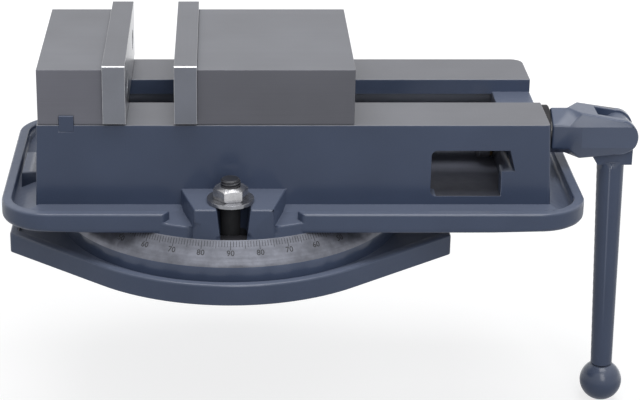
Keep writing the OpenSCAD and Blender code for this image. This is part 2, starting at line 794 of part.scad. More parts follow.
// Screws of a jaw plate whose back lies at x = 0
module plate_screws() {
    both_sides(plate_screw_pitch / 2)
        translate([plate_t - plate_head_sink, 0, plate_screw_z]) along_x()
            cap_screw(plate_screw_d, plate_screw_l);
}

module fixed_jaw_plate() color([0.55, 0.56, 0.59]) translate([fixed_plate_x, 0, 0]) jaw_plate();

module fixed_plate_screws() color([0.12, 0.12, 0.13]) translate([fixed_plate_x, 0, 0]) plate_screws();

module movable_jaw_plate() color([0.55, 0.56, 0.59])
    translate([movable_jaw_x, 0, 0]) rotate(180) jaw_plate();

module movable_plate_screws() color([0.12, 0.12, 0.13])
    translate([movable_jaw_x, 0, 0]) rotate(180) plate_screws();

module movable_jaw() color([0.47, 0.46, 0.48]) {
    difference() {
        translate([movable_jaw_x, -jaw_w / 2, way_z]) cube([movable_jaw_l, jaw_w, jaw_h]);
        // Pocket for the nose of the nut, with the shelf at 45 degrees in front of it
        translate([movable_jaw_x, 0, way_z]) across(pocket_w) polygon([
            [shelf_x + overrun, -overrun], [shelf_x - pocket_h, pocket_h],
            [pocket_back, pocket_h], [pocket_back, -overrun]
        ]);
        plate_holes(movable_jaw_x - overrun, plate_screw_l - (plate_t - plate_head_sink) + 2 * overrun,
            plate_screw_d + 2 * seat_fit);
        translate([movable_jaw_x + pocket_back - overrun, 0, push_screw_z]) along_x()
            cylinder(h = movable_jaw_l, d = push_screw_d + 2 * seat_fit);
    }
}

// Middle of the half ball on the shelf
half_ball_x = movable_jaw_x + shelf_x - pocket_h / 2;
half_ball_z = way_z + pocket_h / 2;

module jaw_nut() color([0.36, 0.36, 0.38]) {
    nut_z0 = screw_z - nut_low;
    difference() {
        union() {
            translate([movable_jaw_x + nut_front, -nut_w / 2, nut_z0])
                cube([nut_back - nut_front, nut_w, nut_top_z - nut_z0]);
            translate([movable_jaw_x + shelf_x + wedge_gap, -neck_w / 2, screw_z])
                cube([nose_back - shelf_x, neck_w, way_z - screw_z - wedge_gap]);
            translate([movable_jaw_x, 0, way_z]) across(nose_w) polygon([
                [shelf_x + 2 * wedge_gap, -way_lip_t], [shelf_x + 2 * wedge_gap, 0],
                [shelf_x + 2 * wedge_gap - nose_h, nose_h],
                [nose_back - nose_h / 3, nose_h], [nose_back, nose_h * 2 / 3], [nose_back, -way_lip_t]
            ]);
        }
        translate([movable_jaw_x, 0, screw_z]) along_x()
            cylinder(h = movable_jaw_l, d = screw_d + 2 * run_fit);
        translate([half_ball_x, 0, half_ball_z]) sphere(half_ball_r + run_fit);
    }
}

module half_ball() color([0.6, 0.6, 0.62]) {
    translate([half_ball_x, 0, half_ball_z]) rotate([0, 45, 0]) difference() {
        sphere(half_ball_r);
        translate([-half_ball_r * 2, -half_ball_r * 2, -half_ball_r * 4])
            cube([half_ball_r * 4, half_ball_r * 4, half_ball_r * 4]);
    }
}

module nut_set_screw() color([0.12, 0.12, 0.13]) {
    translate([movable_jaw_x + nose_back + slide_gap, 0, push_screw_z]) along_x()
        set_screw(push_screw_d, movable_jaw_l - nose_back - push_screw_d);
}

module lead_screw() color([0.55, 0.55, 0.57]) {
    chamfer = screw_d / 16;
    thread_x = shoulder_x - screw_thread_l;
    hub_shank = hub_neck_l + hub_flare_l * 0.6;
    translate([thread_x, 0, screw_z]) along_x() {
        cylinder(h = chamfer, d1 = screw_d - 2 * chamfer, d2 = screw_d);
        translate([0, 0, chamfer]) cylinder(h = screw_thread_l - chamfer, d = screw_d);
        translate([0, 0, screw_thread_l]) cylinder(h = shoulder_t, d = shoulder_d);
        translate([0, 0, screw_thread_l]) cylinder(h = hub_x - thread_x - screw_thread_l, d = journal_d);
        translate([0, 0, screw_thread_l])
            cylinder(h = hub_x + hub_shank - thread_x - screw_thread_l, d = journal_d * 0.8);
    }
}

// Race of the thrust bearing along +Z, with a ball groove in its upper face
module race() {
    ring_r = ball_ring_r;
    difference() {
        cylinder(h = race_t, d = shoulder_d);
        translate([0, 0, -overrun])
            cylinder(h = race_t + 2 * overrun, d = journal_d + 2 * slide_gap);
        translate([0, 0, race_t + ball_d / 2 - groove_depth])
            rotate_extrude() translate([ring_r, 0]) circle(ball_d / 2 + run_fit);
    }
}
ball_ring_r = (shoulder_d + journal_d) / 4;

module fixed_race() color([0.66, 0.67, 0.69])
    translate([end_wall_x, 0, screw_z]) rotate([0, -90, 0]) race();

module turning_race() color([0.66, 0.67, 0.69])
    translate([end_wall_x - bearing_t, 0, screw_z]) along_x() race();

module bearing_balls() color([0.7, 0.71, 0.73])
    translate([end_wall_x - bearing_t / 2, 0, screw_z]) along_x()
        for (i = [0:ball_count - 1]) rotate(i * 360 / ball_count)
            translate([ball_ring_r, 0, 0]) sphere(d = ball_d);

module ball_cage() color([0.72, 0.55, 0.25]) {
    cage_t = (ball_d - 2 * groove_depth) * 0.5;
    translate([end_wall_x - bearing_t / 2 - cage_t / 2, 0, screw_z]) along_x() difference() {
        cylinder(h = cage_t, d = shoulder_d - ball_d / 2);
        translate([0, 0, -overrun]) cylinder(h = cage_t + 2 * overrun, d = journal_d + ball_d / 2);
        for (i = [0:ball_count - 1]) rotate(i * 360 / ball_count)
            translate([ball_ring_r, 0, -overrun]) cylinder(h = cage_t + 2 * overrun, d = ball_d + 2 * run_fit);
    }
}

module screw_collar() color([0.07, 0.07, 0.08]) {
    chamfer = collar_l / 12;
    translate([collar_x, 0, screw_z]) along_x() difference() {
        union() {
            cylinder(h = chamfer, d1 = collar_d - 2 * chamfer, d2 = collar_d);
            translate([0, 0, chamfer]) cylinder(h = collar_l - 2 * chamfer, d = collar_d);
            translate([0, 0, collar_l - chamfer])
                cylinder(h = chamfer, d1 = collar_d, d2 = collar_d - 2 * chamfer);
        }
        translate([0, 0, -overrun]) cylinder(h = collar_l + 2 * overrun, d = journal_d + 2 * seat_fit);
        translate([0, 0, collar_l / 2]) along_x() cylinder(h = collar_d, d = set_screw_d + 2 * seat_fit);
    }
}

module collar_set_screw() color([0.12, 0.12, 0.13]) {
    l = (collar_d - journal_d) / 2 - slide_gap - collar_l / 12;
    translate([collar_x + collar_l / 2, 0, screw_z - journal_d / 2 - slide_gap]) rotate([180, 0, 0])
        set_screw(set_screw_d, l);
}

// Section of the fork in Y and Z: flats above, below and at the sides, joined by chamfers
module fork_section(h) {
    polygon([
        for (sz = [1, -1], sy = sz > 0 ? [1, -1] : [-1, 1], last = [0, 1])
            ((last == 0) == (sy * sz > 0))
                ? [sy * fork_w / 2, sz * fork_side_h / 2]
                : [sy * fork_flat_w / 2, sz * h / 2]
    ]);
}

// Side view of the fork in X and Z, tapered to its round tip about the pin
module fork_outline() {
    tip_r = (fork_pin_h + fork_sag) / 2;
    tip_x = pin_x - fork_sag / 2;
    polygon([
        [fork_x - overrun, -fork_h / 2], [fork_x, -fork_h / 2],
        [tip_x, -fork_pin_h / 2 - fork_sag], [tip_x, fork_pin_h / 2],
        [fork_x, fork_h / 2], [fork_x - overrun, fork_h / 2]
    ]);
    translate([tip_x, -fork_sag / 2]) circle(tip_r);
}

module crank_hub() color([0.3, 0.34, 0.42]) {
    tip = pin_x + fork_pin_h / 2;
    flare_x = hub_x + hub_neck_l;
    shank = hub_neck_l + hub_flare_l * 0.6;
    translate([0, 0, screw_z]) difference() {
        union() {
            translate([hub_x, 0, 0]) along_x()
                cylinder(h = hub_neck_l + seat_fit, d = hub_neck_d, $fn = 6);
            hull() {
                translate([flare_x, 0, 0]) along_x()
                    cylinder(h = seat_fit, d = hub_neck_d, $fn = 6);
                translate([fork_x, 0, 0]) rotate([90, 0, 90]) linear_extrude(seat_fit)
                    fork_section(fork_h);
            }
            intersection() {
                across(fork_w + overrun) fork_outline();
                translate([fork_x - overrun, 0, 0]) rotate([90, 0, 90])
                    linear_extrude(tip - fork_x + 2 * overrun) fork_section(fork_h);
            }
        }
        translate([hub_x - overrun, 0, 0]) along_x()
            cylinder(h = shank + 2 * overrun, d = journal_d * 0.8 + 2 * seat_fit);
        translate([pin_x - fork_slot_back, -fork_slot_w / 2, -fork_h])
            cube([fork_h, fork_slot_w, 2 * fork_h]);
        translate([pin_x, fork_w, 0]) rotate([90, 0, 0])
            cylinder(h = 2 * fork_w, d = fork_pin_d + 2 * seat_fit);
        translate([hub_x + hub_neck_l / 2, 0, 0]) rotate([-90, 0, 0])
            cylinder(h = hub_neck_d, d = set_screw_d + 2 * seat_fit);
    }
}

module hub_set_screw() color([0.12, 0.12, 0.13]) {
    shank_r = journal_d * 0.4;
    l = hub_neck_d / 2 * cos(30) - shank_r - slide_gap - set_screw_d / 5;
    translate([hub_x + hub_neck_l / 2, shank_r + slide_gap, screw_z]) rotate([-90, 0, 0])
        set_screw(set_screw_d, l);
}

module fork_pin() color([0.3, 0.34, 0.42]) {
    translate([pin_x, fork_w / 2, screw_z]) rotate([90, 0, 0]) cylinder(h = fork_w, d = fork_pin_d);
}

// Flat head of the handle in X and Z about the pin: round above, square below, with a lip that
// stops it against the fork's underside
module head_outline() {
    lip_x = -head_back - head_lip;
    circle(head_r);
    polygon([
        [-head_back, 0], [-head_back, head_lip - head_lip_drop], [lip_x, -head_lip_drop],
        [lip_x + head_slope, -head_drop], [head_r, -head_drop], [head_r, 0],
        [-head_r * cos(30), head_r * sin(30)]
    ]);
}

module handle_arm() color([0.27, 0.31, 0.38]) {
    difference() {
        union() {
            translate([pin_x, 0, screw_z]) across(head_w) head_outline();
            translate([rod_x, 0, rod_top_z]) rotate([0, 180 - rod_tilt, 0]) {
                translate([0, 0, -rod_top_d * 0.1])
                    cylinder(h = rod_top_d * 0.1 + rod_l - knob_d / 2 + slide_gap * 2,
                        d1 = rod_top_d, d2 = rod_low_d);
                cylinder(h = rod_l - knob_seat * 0.1, d = spigot_d);
            }
        }
        translate([pin_x, head_w, screw_z]) rotate([90, 0, 0])
            cylinder(h = 2 * head_w, d = fork_pin_d + 2 * run_fit);
    }
}

module ball_knob() color([0.25, 0.28, 0.35]) {
    difference() {
        translate([knob_x, 0, knob_z]) sphere(d = knob_d);
        translate([knob_x, 0, knob_z]) rotate([0, -rod_tilt, 0]) {
            cylinder(h = knob_d, d = spigot_d + 2 * seat_fit);
            translate([0, 0, knob_seat]) cylinder(h = knob_d, d = rod_low_d + 2 * slide_gap);
        }
    }
}

swivel_base();
pivot_post();
vise_body();
t_bolts();
clamp_washers();
clamp_nut_front();
clamp_nut_back();
fixed_jaw();
jaw_key();
fixed_jaw_bolts();
fixed_jaw_plate();
fixed_plate_screws();
movable_jaw();
movable_jaw_plate();
movable_plate_screws();
jaw_nut();
half_ball();
nut_set_screw();
lead_screw();
fixed_race();
turning_race();
bearing_balls();
ball_cage();
screw_collar();
collar_set_screw();
crank_hub();
hub_set_screw();
fork_pin();
handle_arm();
ball_knob();
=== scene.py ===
"""Looks of a machine vise on a graduated swivel base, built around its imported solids.

Everything is in metres in the frame of the solids: +X along the screw towards the crank,
+Y away from the operator, +Z up, and the origin on the swivel axis under the base.
"""

import json
import math

import bmesh
import bpy
import numpy as np
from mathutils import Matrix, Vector

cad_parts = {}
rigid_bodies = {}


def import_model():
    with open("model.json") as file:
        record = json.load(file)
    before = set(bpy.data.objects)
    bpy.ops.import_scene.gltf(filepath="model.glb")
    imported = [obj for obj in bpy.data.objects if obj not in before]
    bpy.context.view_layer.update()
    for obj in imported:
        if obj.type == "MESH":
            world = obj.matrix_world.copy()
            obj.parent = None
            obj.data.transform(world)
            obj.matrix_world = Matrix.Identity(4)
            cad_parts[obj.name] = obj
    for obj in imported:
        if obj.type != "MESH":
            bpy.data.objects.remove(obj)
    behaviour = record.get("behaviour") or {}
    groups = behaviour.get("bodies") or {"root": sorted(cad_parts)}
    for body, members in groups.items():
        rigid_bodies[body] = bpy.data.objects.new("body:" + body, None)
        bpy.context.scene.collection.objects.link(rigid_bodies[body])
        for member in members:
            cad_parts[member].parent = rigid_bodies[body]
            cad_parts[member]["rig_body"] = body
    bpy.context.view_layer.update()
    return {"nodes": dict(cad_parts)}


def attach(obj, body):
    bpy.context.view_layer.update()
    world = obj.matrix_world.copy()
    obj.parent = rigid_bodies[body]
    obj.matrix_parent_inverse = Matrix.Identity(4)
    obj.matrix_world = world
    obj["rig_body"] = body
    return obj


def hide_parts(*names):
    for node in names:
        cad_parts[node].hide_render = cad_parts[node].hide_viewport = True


MM = 0.001

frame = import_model()
nodes = frame["nodes"]

# Swivel base
SWIVEL_AXIS = (0.0, 0.0, 0.0)
BASE_R = 140.0 * MM
EAR_X = 162.0 * MM
BASE_PLATE_TOP_Z = 12.0 * MM
BASE_RIM_TOP_Z = 15.7 * MM
BASE_H = 38.9 * MM
CONE_FOOT_R = 127.0 * MM
CONE_FOOT_Z = 23.2 * MM
CONE_TOP_R = 115.0 * MM
CLAMP_R = 99.2 * MM

# Bed, with boxes round its chip window, chip chamber and key slot
WAY_Z = 109.9 * MM
LIP_Z = 98.6 * MM
GUIDE_Z = 86.6 * MM
BED_HALF_W = 75.6 * MM
BED_X0, BED_X1 = -136.75 * MM, 225.45 * MM
WINDOW_X0, WINDOW_X1 = 140.0 * MM, 204.0 * MM
WINDOW_Z0, WINDOW_Z1 = 55.0 * MM, 92.0 * MM
CHAMBER_X0, CHAMBER_X1 = -81.0 * MM, 197.2 * MM
CHAMBER_Z0 = 56.0 * MM
CHAMBER_HALF_W = 62.2 * MM
KEY_SLOT_X0, KEY_SLOT_X1 = BED_X0 + 8 * MM, -90.0 * MM
KEY_SLOT_Z0 = WAY_Z - 8 * MM
END_WALL_X0, END_WALL_Z0 = BED_X1 - 30 * MM, 98.0 * MM

# Tray, its round foot and its clamp bosses
TRAY_X0, TRAY_X1 = -163.95 * MM, 253.45 * MM
TRAY_HALF_W = 103.6 * MM
TRAY_CORNER_R = 35.0 * MM
TRAY_LOW_Z = 39.4 * MM
TRAY_TOP_Z = 53.8 * MM
RIM_END_X = 49.0 * MM
RIM_INSIDE_Y = 94.0 * MM
FOOT_R = 115.0 * MM
FOOT_TOP_Z = 47.5 * MM
BOSS_TOP_Z = 62.0 * MM
BOSS_TOP_X = 45.0 * MM
BOSS_SIDE_X, BOSS_SIDE_Z0 = 40.0 * MM, 49.0 * MM

# Jaw plates
PLATE_TOP_Z = 155.2 * MM
PLATE_HALF_W = 80.0 * MM

# Lead screw: left-hand trapezoidal thread, 25 mm outside, 5 mm lead
SCREW_Z = 79.0 * MM
SCREW_AXIS = (0.0, 0.0, SCREW_Z)
SCREW_X0, SCREW_X1 = -44.95 * MM, 255.6 * MM
THREAD_X1 = 184.05 * MM
THREAD_CHAMFER, THREAD_TIP_R = 0.6 * MM, 9.4 * MM
THREAD_CREST_R, THREAD_ROOT_R, THREAD_LEAD = 12.5 * MM, 10.0 * MM, 5.0 * MM
THREAD_CREST_SHARE = 0.34
THRUST_X1, THRUST_R = 190.05 * MM, 20.0 * MM
NECK_X1, NECK_R = 237.45 * MM, 11.0 * MM
HUB_SEAT_R = 8.8 * MM
SCREW_COLUMNS = 48

# Crank: bores in its hub, the flare behind the fork, and the corners of the fork's section
HUB_BORE_R = 9.2 * MM
HUB_SCREW_X, HUB_SCREW_R = 243.75 * MM, 2.8 * MM
FLARE_X = 250.05 * MM
FORK_X = 259.35 * MM
FORK_OVERLAP = 1.0 * MM
FORK_CORNERS = ((13.0 * MM, 17.8 * MM), (16.5 * MM, 8.0 * MM))
FORK_SLOT_HALF_W = 8.7 * MM
PIN_X, PIN_BORE_R = 288.45 * MM, 4.03 * MM
FORK_SLOT_X0 = PIN_X - 17.3 * MM
PIN_SHARE = 0.97

# Clamping bolts: square head in the T-slot, right-hand thread of 2 mm pitch
BOLT_TOP_Z = 79.3 * MM
BOLT_THREAD_Z0 = 63.0 * MM
BOLT_HEAD_Z0, BOLT_HEAD_Z1 = 17.9 * MM, 26.9 * MM
BOLT_HEAD_HALF_W = 11.0 * MM
BOLT_R, BOLT_ROOT_R, BOLT_PITCH = 7.0 * MM, 5.8 * MM, 2.0 * MM
BOLT_CREST_SHARE = 0.16
BOLT_COLUMNS = 40

# Degree scale: marks for the tens, the fives and the single degrees, and the figures
TICK_START = 0.9 * MM
TICK_LENGTHS = (6.2 * MM, 5.2 * MM, 4.0 * MM)
TICK_HALF_WIDTHS = (0.22 * MM, 0.18 * MM)
TICK_SUNK, TICK_PROUD = -0.05 * MM, 0.03 * MM
FIGURE_SIZE = 5.7 * MM
FIGURE_FOOT = 11.3 * MM
FIGURE_R = 121.0 * MM
FIGURE_RAISE = 0.04 * MM
FIGURE_WIDEN = 0.05 * MM

# How near a point counts as on a face, and how far past one it is surely outside
ON_FACE = 0.1 * MM
PAST_FACE = 0.2 * MM

# Share of a normal along an axis from which a face counts as square to it
SQUARE = 0.9

# How near points are merged, in surfaces, in solids, across thin faces and at the fork's ring
MERGE_DIST, SOLID_MERGE_DIST, THIN_DIST, RING_MERGE_DIST = 1e-6, 2e-6, 1e-7, 0.08 * MM

# The turn below which faces count as one flat, and that above which an edge is rounded
FLAT_TURN = math.radians(0.5)
ROUNDED_TURN = math.radians(20)


# Meshes

def mesh_object(name, points, faces, body, slot, smooth_angle=30.0):
    """Puts an array of points and a list of faces into a mesh that rides on a body.

    Doubles are merged, faces point outwards, and edges sharper than smooth_angle stay sharp.
    """
    mesh = bpy.data.meshes.new(name)
    mesh.from_pydata(np.asarray(points, float).tolist(), [], [list(map(int, f)) for f in faces])
    work = bmesh.new()
    work.from_mesh(mesh)
    bmesh.ops.remove_doubles(work, verts=work.verts, dist=MERGE_DIST)
    bmesh.ops.dissolve_degenerate(work, edges=work.edges, dist=THIN_DIST)
    bmesh.ops.recalc_face_normals(work, faces=work.faces)
    work.to_mesh(mesh)
    work.free()
    mesh.shade_smooth()
    mesh.set_sharp_from_angle(angle=math.radians(smooth_angle))
    piece = bpy.data.objects.new(name, mesh)
    bpy.context.scene.collection.objects.link(piece)
    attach(piece, body)
    return piece


def joined(parts):
    """One array of points and one list of faces from the points and faces of several parts."""
    points, faces, count = [], [], 0
    for part_points, part_faces in parts:
        points.append(part_points)
        faces += [[v + count for v in face] for face in part_faces]
        count += len(part_points)
    return np.concatenate(points), faces


def grid_faces(rows, columns):
    """Quads of a grid of points in rows, whose columns close into a ring.

    Each joins a point, its next in the row and the two above them in the next row.
    """
    i, j = np.meshgrid(np.arange(rows - 1), np.arange(columns), indexing="ij")
    k = (j + 1) % columns
    low, high = i * columns, (i + 1) * columns
    return np.stack([low + j, low + k, high + k, high + j], -1).reshape(-1, 4)


def softened(node, name, radius_of, segments=3, smooth_angle=30.0, prepare=None,
             wide_faces=False, edge_finish=-1):
    """Copy of a solid with rounded edges.

    prepare may first change the merged mesh. radius_of takes arrays for the edges (middle,
    direction, signed turn in radians) and gives each edge its radius. Each edge's share of the
    largest radius is its bevel weight, so that one Bevel modifier rounds them all. wide_faces
    shades by the largest faces; edge_finish is the material index of the rounding.
    """
    mesh = nodes[node].data.copy()
    mesh.name = name
    work = bmesh.new()
    work.from_mesh(mesh)
    bmesh.ops.remove_doubles(work, verts=work.verts, dist=SOLID_MERGE_DIST)
    bmesh.ops.dissolve_limit(work, angle_limit=FLAT_TURN, verts=work.verts, edges=work.edges)
    if prepare:
        prepare(work)
        work.normal_update()
    layer = work.edges.layers.float.new("bevel_weight_edge")
    edges = [e for e in work.edges if len(e.link_faces) == 2]
    ends = np.array([[v.co[:] for v in e.verts] for e in edges])
    turn = np.array([e.calc_face_angle_signed(0.0) for e in edges])
    radius = radius_of(ends.mean(1), ends[:, 1] - ends[:, 0], turn)
    radius = np.where(np.abs(turn) > ROUNDED_TURN, radius, 0.0)
    widest = max(float(radius.max()), 1e-6)
    for edge, share in zip(edges, radius / widest):
        edge[layer] = float(share)
    for face in work.faces:
        face.smooth = True
    work.to_mesh(mesh)
    work.free()
    mesh.set_sharp_from_angle(angle=math.radians(smooth_angle))
    piece = bpy.data.objects.new(name, mesh)
    bpy.context.scene.collection.objects.link(piece)
    if radius.max() > 0:
        bevel = piece.modifiers.new("edges", "BEVEL")
        bevel.limit_method = "WEIGHT"
        bevel.width = widest
        bevel.segments = segments
        bevel.use_clamp_overlap = False
        bevel.miter_outer = "MITER_ARC" if segments > 2 else "MITER_SHARP"
        bevel.harden_normals = not wide_faces
        bevel.material = edge_finish
        if wide_faces:
            flats = piece.modifiers.new("flat_faces", "WEIGHTED_NORMAL")
            flats.keep_sharp = True
    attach(piece, nodes[node]["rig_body"])
    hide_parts(node)
    return piece


def zone_radius(turn, zones):
    """Radius of each edge, from pairs of a zone and its radius in millimetres.

    Only outward edges are rounded. A later zone holds over an earlier one; True is every edge.
    """
    radius = np.zeros(len(turn))
    for zone, size in zones:
        radius[zone & (turn > 0)] = size * MM
    return radius


def even(size):
    """The same radius, in millimetres, for every outward edge."""
    return lambda middle, along, turn: zone_radius(turn, [(True, size)])


def near(value, place, reach):
    """Whether each value lies within reach of place."""
    return np.abs(value - place) < reach


def between(value, low, high):
    """Whether each value lies between low and high."""
    return (value > low) & (value < high)


# Materials

def shade(colour, factor, lift=0.0):
    """Colour times factor plus lift, at most 1."""
    return tuple(min(c * factor + lift, 1.0) for c in colour)


class Graph:
    """Adds and joins the nodes of one shader tree."""

    def __init__(self, tree):
        """tree is the node tree of a material or of the world."""
        self.tree = tree

    def put(self, value, socket):
        """Joins a socket to value if that is the output of a node, and else sets it to value."""
        if isinstance(value, bpy.types.NodeSocket):
            self.tree.links.new(value, socket)
        else:
            socket.default_value = value

    def add(self, kind, **values):
        """Adds a node. A value sets the socket or, in small letters, the property of that name."""
        node = self.tree.nodes.new(kind)
        for key, value in values.items():
            if key[0].islower():
                setattr(node, key, value)
            else:
                self.put(value, node.inputs[key.replace("_", " ")])
        return node

    def fill(self, node, *values):
        """Puts the values into the sockets of a node, in their order, and gives its outputs."""
        for socket, value in zip(node.inputs, values):
            self.put(value, socket)
        return node.outputs

    def math(self, operation, *values):
        """Result of an operation on numbers."""
        return self.fill(self.add("ShaderNodeMath", operation=operation), *values)[0]

    def vector(self, operation, *values):
        """Outputs of an operation on vectors: Vector, and Value for a number."""
        return self.fill(self.add("ShaderNodeVectorMath", operation=operation), *values)

    def span(self, value, low, high, to_low=0.0, to_high=1.0):
        """Straight map of low..high to to_low..to_high, held at both ends."""
        return self.add("ShaderNodeMapRange", Value=value, From_Min=low, From_Max=high,
                        To_Min=to_low, To_Max=to_high).outputs[0]


class Finish(Graph):
    """Builds one procedural material. Every pattern reads Object coordinates in metres."""

    def __init__(self, name):
        """Starts from a new material's own shader."""
        self.material = bpy.data.materials.new(name)
        self.material.use_nodes = True
        super().__init__(self.material.node_tree)
        self.shader = self.tree.nodes["Principled BSDF"]
        self.coordinates = self.add("ShaderNodeTexCoord").outputs
        self.place = self.coordinates["Object"]

    def stretched(self, scale, shift=(0.0, 0.0, 0.0)):
        """Object coordinates, stretched by the three scales and then shifted."""
        return self.add("ShaderNodeMapping", Vector=self.place, Scale=scale,
                        Location=shift).outputs[0]

    def axis(self, vector, letter):
        """One of the three numbers of a vector: X, Y or Z."""
        return self.add("ShaderNodeSeparateXYZ", Vector=vector).outputs[letter]

    def noise(self, where, scale, detail=3.0, roughness=0.5):
        """Noise between about 0.2 and 0.8, with features of 1 / scale metres."""
        return self.add("ShaderNodeTexNoise", Vector=where, Scale=scale, Detail=detail,
                        Roughness=roughness).outputs[0]

    def tones(self, pattern, to_low=0.0, to_high=1.0):
        """Straight map of the usual range of a noise, 0.3 to 0.7, to to_low..to_high."""
        return self.span(pattern, 0.3, 0.7, to_low, to_high)

    def mix(self, share, first, second):
        """Colour from first to second by share."""
        node = self.add("ShaderNodeMix", data_type="RGBA")
        for index, value in ((0, share), (6, first), (7, second)):
            self.put((*value, 1.0) if isinstance(value, tuple) else value, node.inputs[index])
        return node.outputs[2]

    def edge(self, radius):
        """Near 1 on outward and inward edges, 0 on flat faces: how far a rounded normal turns.

        The turn is 1 minus the cosine between the rounded and the plain normal; 0.02 is none and
        0.3 is full.
        """
        soft = self.add("ShaderNodeBevel", samples=4, Radius=radius).outputs[0]
        plain = self.add("ShaderNodeNewGeometry").outputs["Normal"]
        cosine = self.vector("DOT_PRODUCT", soft, plain)["Value"]
        return self.span(self.math("SUBTRACT", 1.0, cosine), 0.02, 0.3)

    def bump(self, height, distance, strength, under=None):
        """Normal of a relief of height times distance, on top of the relief under it."""
        node = self.add("ShaderNodeBump", Height=height, Distance=distance, Strength=strength)
        if under is not None:
            self.put(under, node.inputs["Normal"])
        return node.outputs[0]

    def set(self, **values):
        """Sets the shader's sockets; a number the same all over stays on the socket."""
        for key, value in values.items():
            self.put(value, self.shader.inputs[key.replace("_", " ")])
        return self.material


def enamel(name, colour, coat=0.28, painted_top_light=0.8):
    """Glossy enamel on a casting: slow change of tone, fine speckle, orange peel and paler edges.

    Faces that look up are painted paler by a given share: painted light on tops. Rounded edges
    that look up are painted paler still: a painted highlight. On rounded edges that look between
    sideways and up the coat grows from its share coat to full.
    """
    f = Finish(name)
    slow = f.noise(f.place, scale=11.0)
    speckle = f.noise(f.place, scale=900.0, detail=4.0, roughness=0.6)
    cast = f.noise(f.place, scale=210.0)
    upward = f.axis(f.coordinates["Normal"], "Z")
    tone = f.mix(f.tones(slow), shade(colour, 0.88), shade(colour, 1.11, 0.002))
    tone = f.mix(f.span(speckle, 0.35, 0.65, 0.0, 0.10), tone, shade(colour, 1.5))
    # Painted light: faces that look up are painted paler.
    tone = f.mix(f.span(upward, 0.5, 1.0, 0.0, painted_top_light), tone, shade(colour, 1.2, 0.08))
    # Painted highlight: rounded edges that look up are painted paler.
    painted_edge_highlight = f.math("MULTIPLY", f.edge(1.2 * MM), f.span(upward, 0.1, 0.6, 0.2, 0.8))
    tone = f.mix(painted_edge_highlight, tone, shade(colour, 1.6, 0.12))
    slanting = f.math("MULTIPLY", f.span(upward, 0.1, 0.4), f.span(upward, 0.85, 0.97, 1.0, 0.0))
    peel = f.bump(speckle, distance=0.02 * MM, strength=0.25)
    skin = f.bump(cast, distance=0.08 * MM, strength=0.3, under=peel)
    return f.set(Base_Color=tone, Roughness=f.tones(cast, 0.42, 0.56), Normal=skin,
                 Coat_Weight=f.span(slanting, 0.0, 1.0, coat, 1.0), Coat_Roughness=0.2,
                 Specular_IOR_Level=0.12)


def hollow_floor(name, shaded_sides, pale_middle):
    """Floor of the chip chamber: darker towards the side walls, a painted shade, and paler towards
    the middle.

    The share of the pale tone grows in a straight line as the distance from the middle plane falls.
    """
    f = Finish(name)
    width = f.math("ABSOLUTE", f.axis(f.place, "Y"))
    cloud = f.noise(f.place, scale=90.0, detail=4.0, roughness=0.6)
    ragged = f.math("ADD", width, f.math("MULTIPLY", cloud, 6 * MM))
    # Painted shade: darker towards the side walls, paler towards the middle.
    paleness = f.span(ragged, 20 * MM, 66 * MM, 1.0, 0.0)
    return f.set(Base_Color=f.mix(paleness, shaded_sides, pale_middle), Roughness=f.tones(cloud, 0.5, 0.65),
                 Normal=f.bump(cloud, distance=0.08 * MM, strength=0.3))


def ground(name, colour, grain, metal, rough, line=1500.0):
    """Surface-ground steel: fine grooves along one axis, faint bands across and brighter edges.

    line is the scale of the grooves across the axis grain; along it they are drawn out. metal is
    the share of bare metal, and rough the roughness of the smoothest and the roughest spots.
    """
    f = Finish(name)
    scale = tuple(9.0 if letter == grain else line for letter in "xyz")
    grooves = f.noise(f.stretched(scale), scale=1.0, detail=4.0, roughness=0.65)
    bands = f.noise(f.stretched(tuple(s * 0.06 for s in scale)), scale=1.0)
    haze = f.noise(f.place, scale=14.0)
    tone = f.mix(f.tones(haze), shade(colour, 0.86), shade(colour, 1.12))
    tone = f.mix(f.tones(grooves, 0.0, 0.16), tone, shade(colour, 1.5))
    tone = f.mix(f.tones(bands, 0.0, 0.10), tone, shade(colour, 0.7))
    # Paler edges: partly polish, partly a painted highlight.
    tone = f.mix(f.math("MULTIPLY", f.edge(0.7 * MM), 0.55), tone, (0.72, 0.73, 0.75))
    uneven = f.math("ADD", f.math("MULTIPLY", grooves, 0.6), f.math("MULTIPLY", haze, 0.4))
    return f.set(Base_Color=tone, Roughness=f.tones(uneven, *rough), Metallic=metal,
                 Normal=f.bump(grooves, distance=0.012 * MM, strength=0.35))


def turned(name, colour, axis, centre, metal=0.9, rough=(0.24, 0.38), spread=0.0):
    """Turned steel: grooves in rings round an axis through centre.

    The rings are noise on the distance to the axis plus the place along it. spread is the
    anisotropy, which draws the gloss out across the grooves. Their direction is the axis crossed
    with the place.
    """
    f = Finish(name)
    across = tuple(0.0 if letter == axis else 1.0 for letter in "xyz")
    outwards = f.stretched(across, tuple(-c * s for c, s in zip(centre, across)))
    run = f.math("ADD", f.vector("LENGTH", outwards)["Value"], f.axis(f.place, axis.upper()))
    rings = f.add("ShaderNodeTexNoise", noise_dimensions="1D", W=run, Scale=2600.0,
                  Detail=3.0).outputs[0]
    haze = f.noise(f.place, scale=85.0, detail=5.0, roughness=0.65)
    tone = f.mix(f.tones(haze), shade(colour, 0.72), shade(colour, 1.28))
    tone = f.mix(f.tones(rings, 0.0, 0.25), tone, shade(colour, 0.62))
    # Paler edges: partly polish, partly a painted highlight.
    tone = f.mix(f.math("MULTIPLY", f.edge(0.6 * MM), 0.4), tone, (0.75, 0.76, 0.78))
    if spread:
        around = f.vector("CROSS_PRODUCT", tuple(1.0 - s for s in across), outwards)["Vector"]
        world = f.add("ShaderNodeVectorTransform", vector_type="VECTOR", convert_from="OBJECT",
                      convert_to="WORLD")
        f.set(Tangent=f.fill(world, around)[0], Anisotropic=spread)
    uneven = f.math("ADD", haze, f.math("MULTIPLY", rings, 0.5))
    return f.set(Base_Color=tone, Metallic=metal, Roughness=f.span(uneven, 0.5, 1.0, *rough),
                 Normal=f.bump(rings, distance=0.01 * MM, strength=0.5))


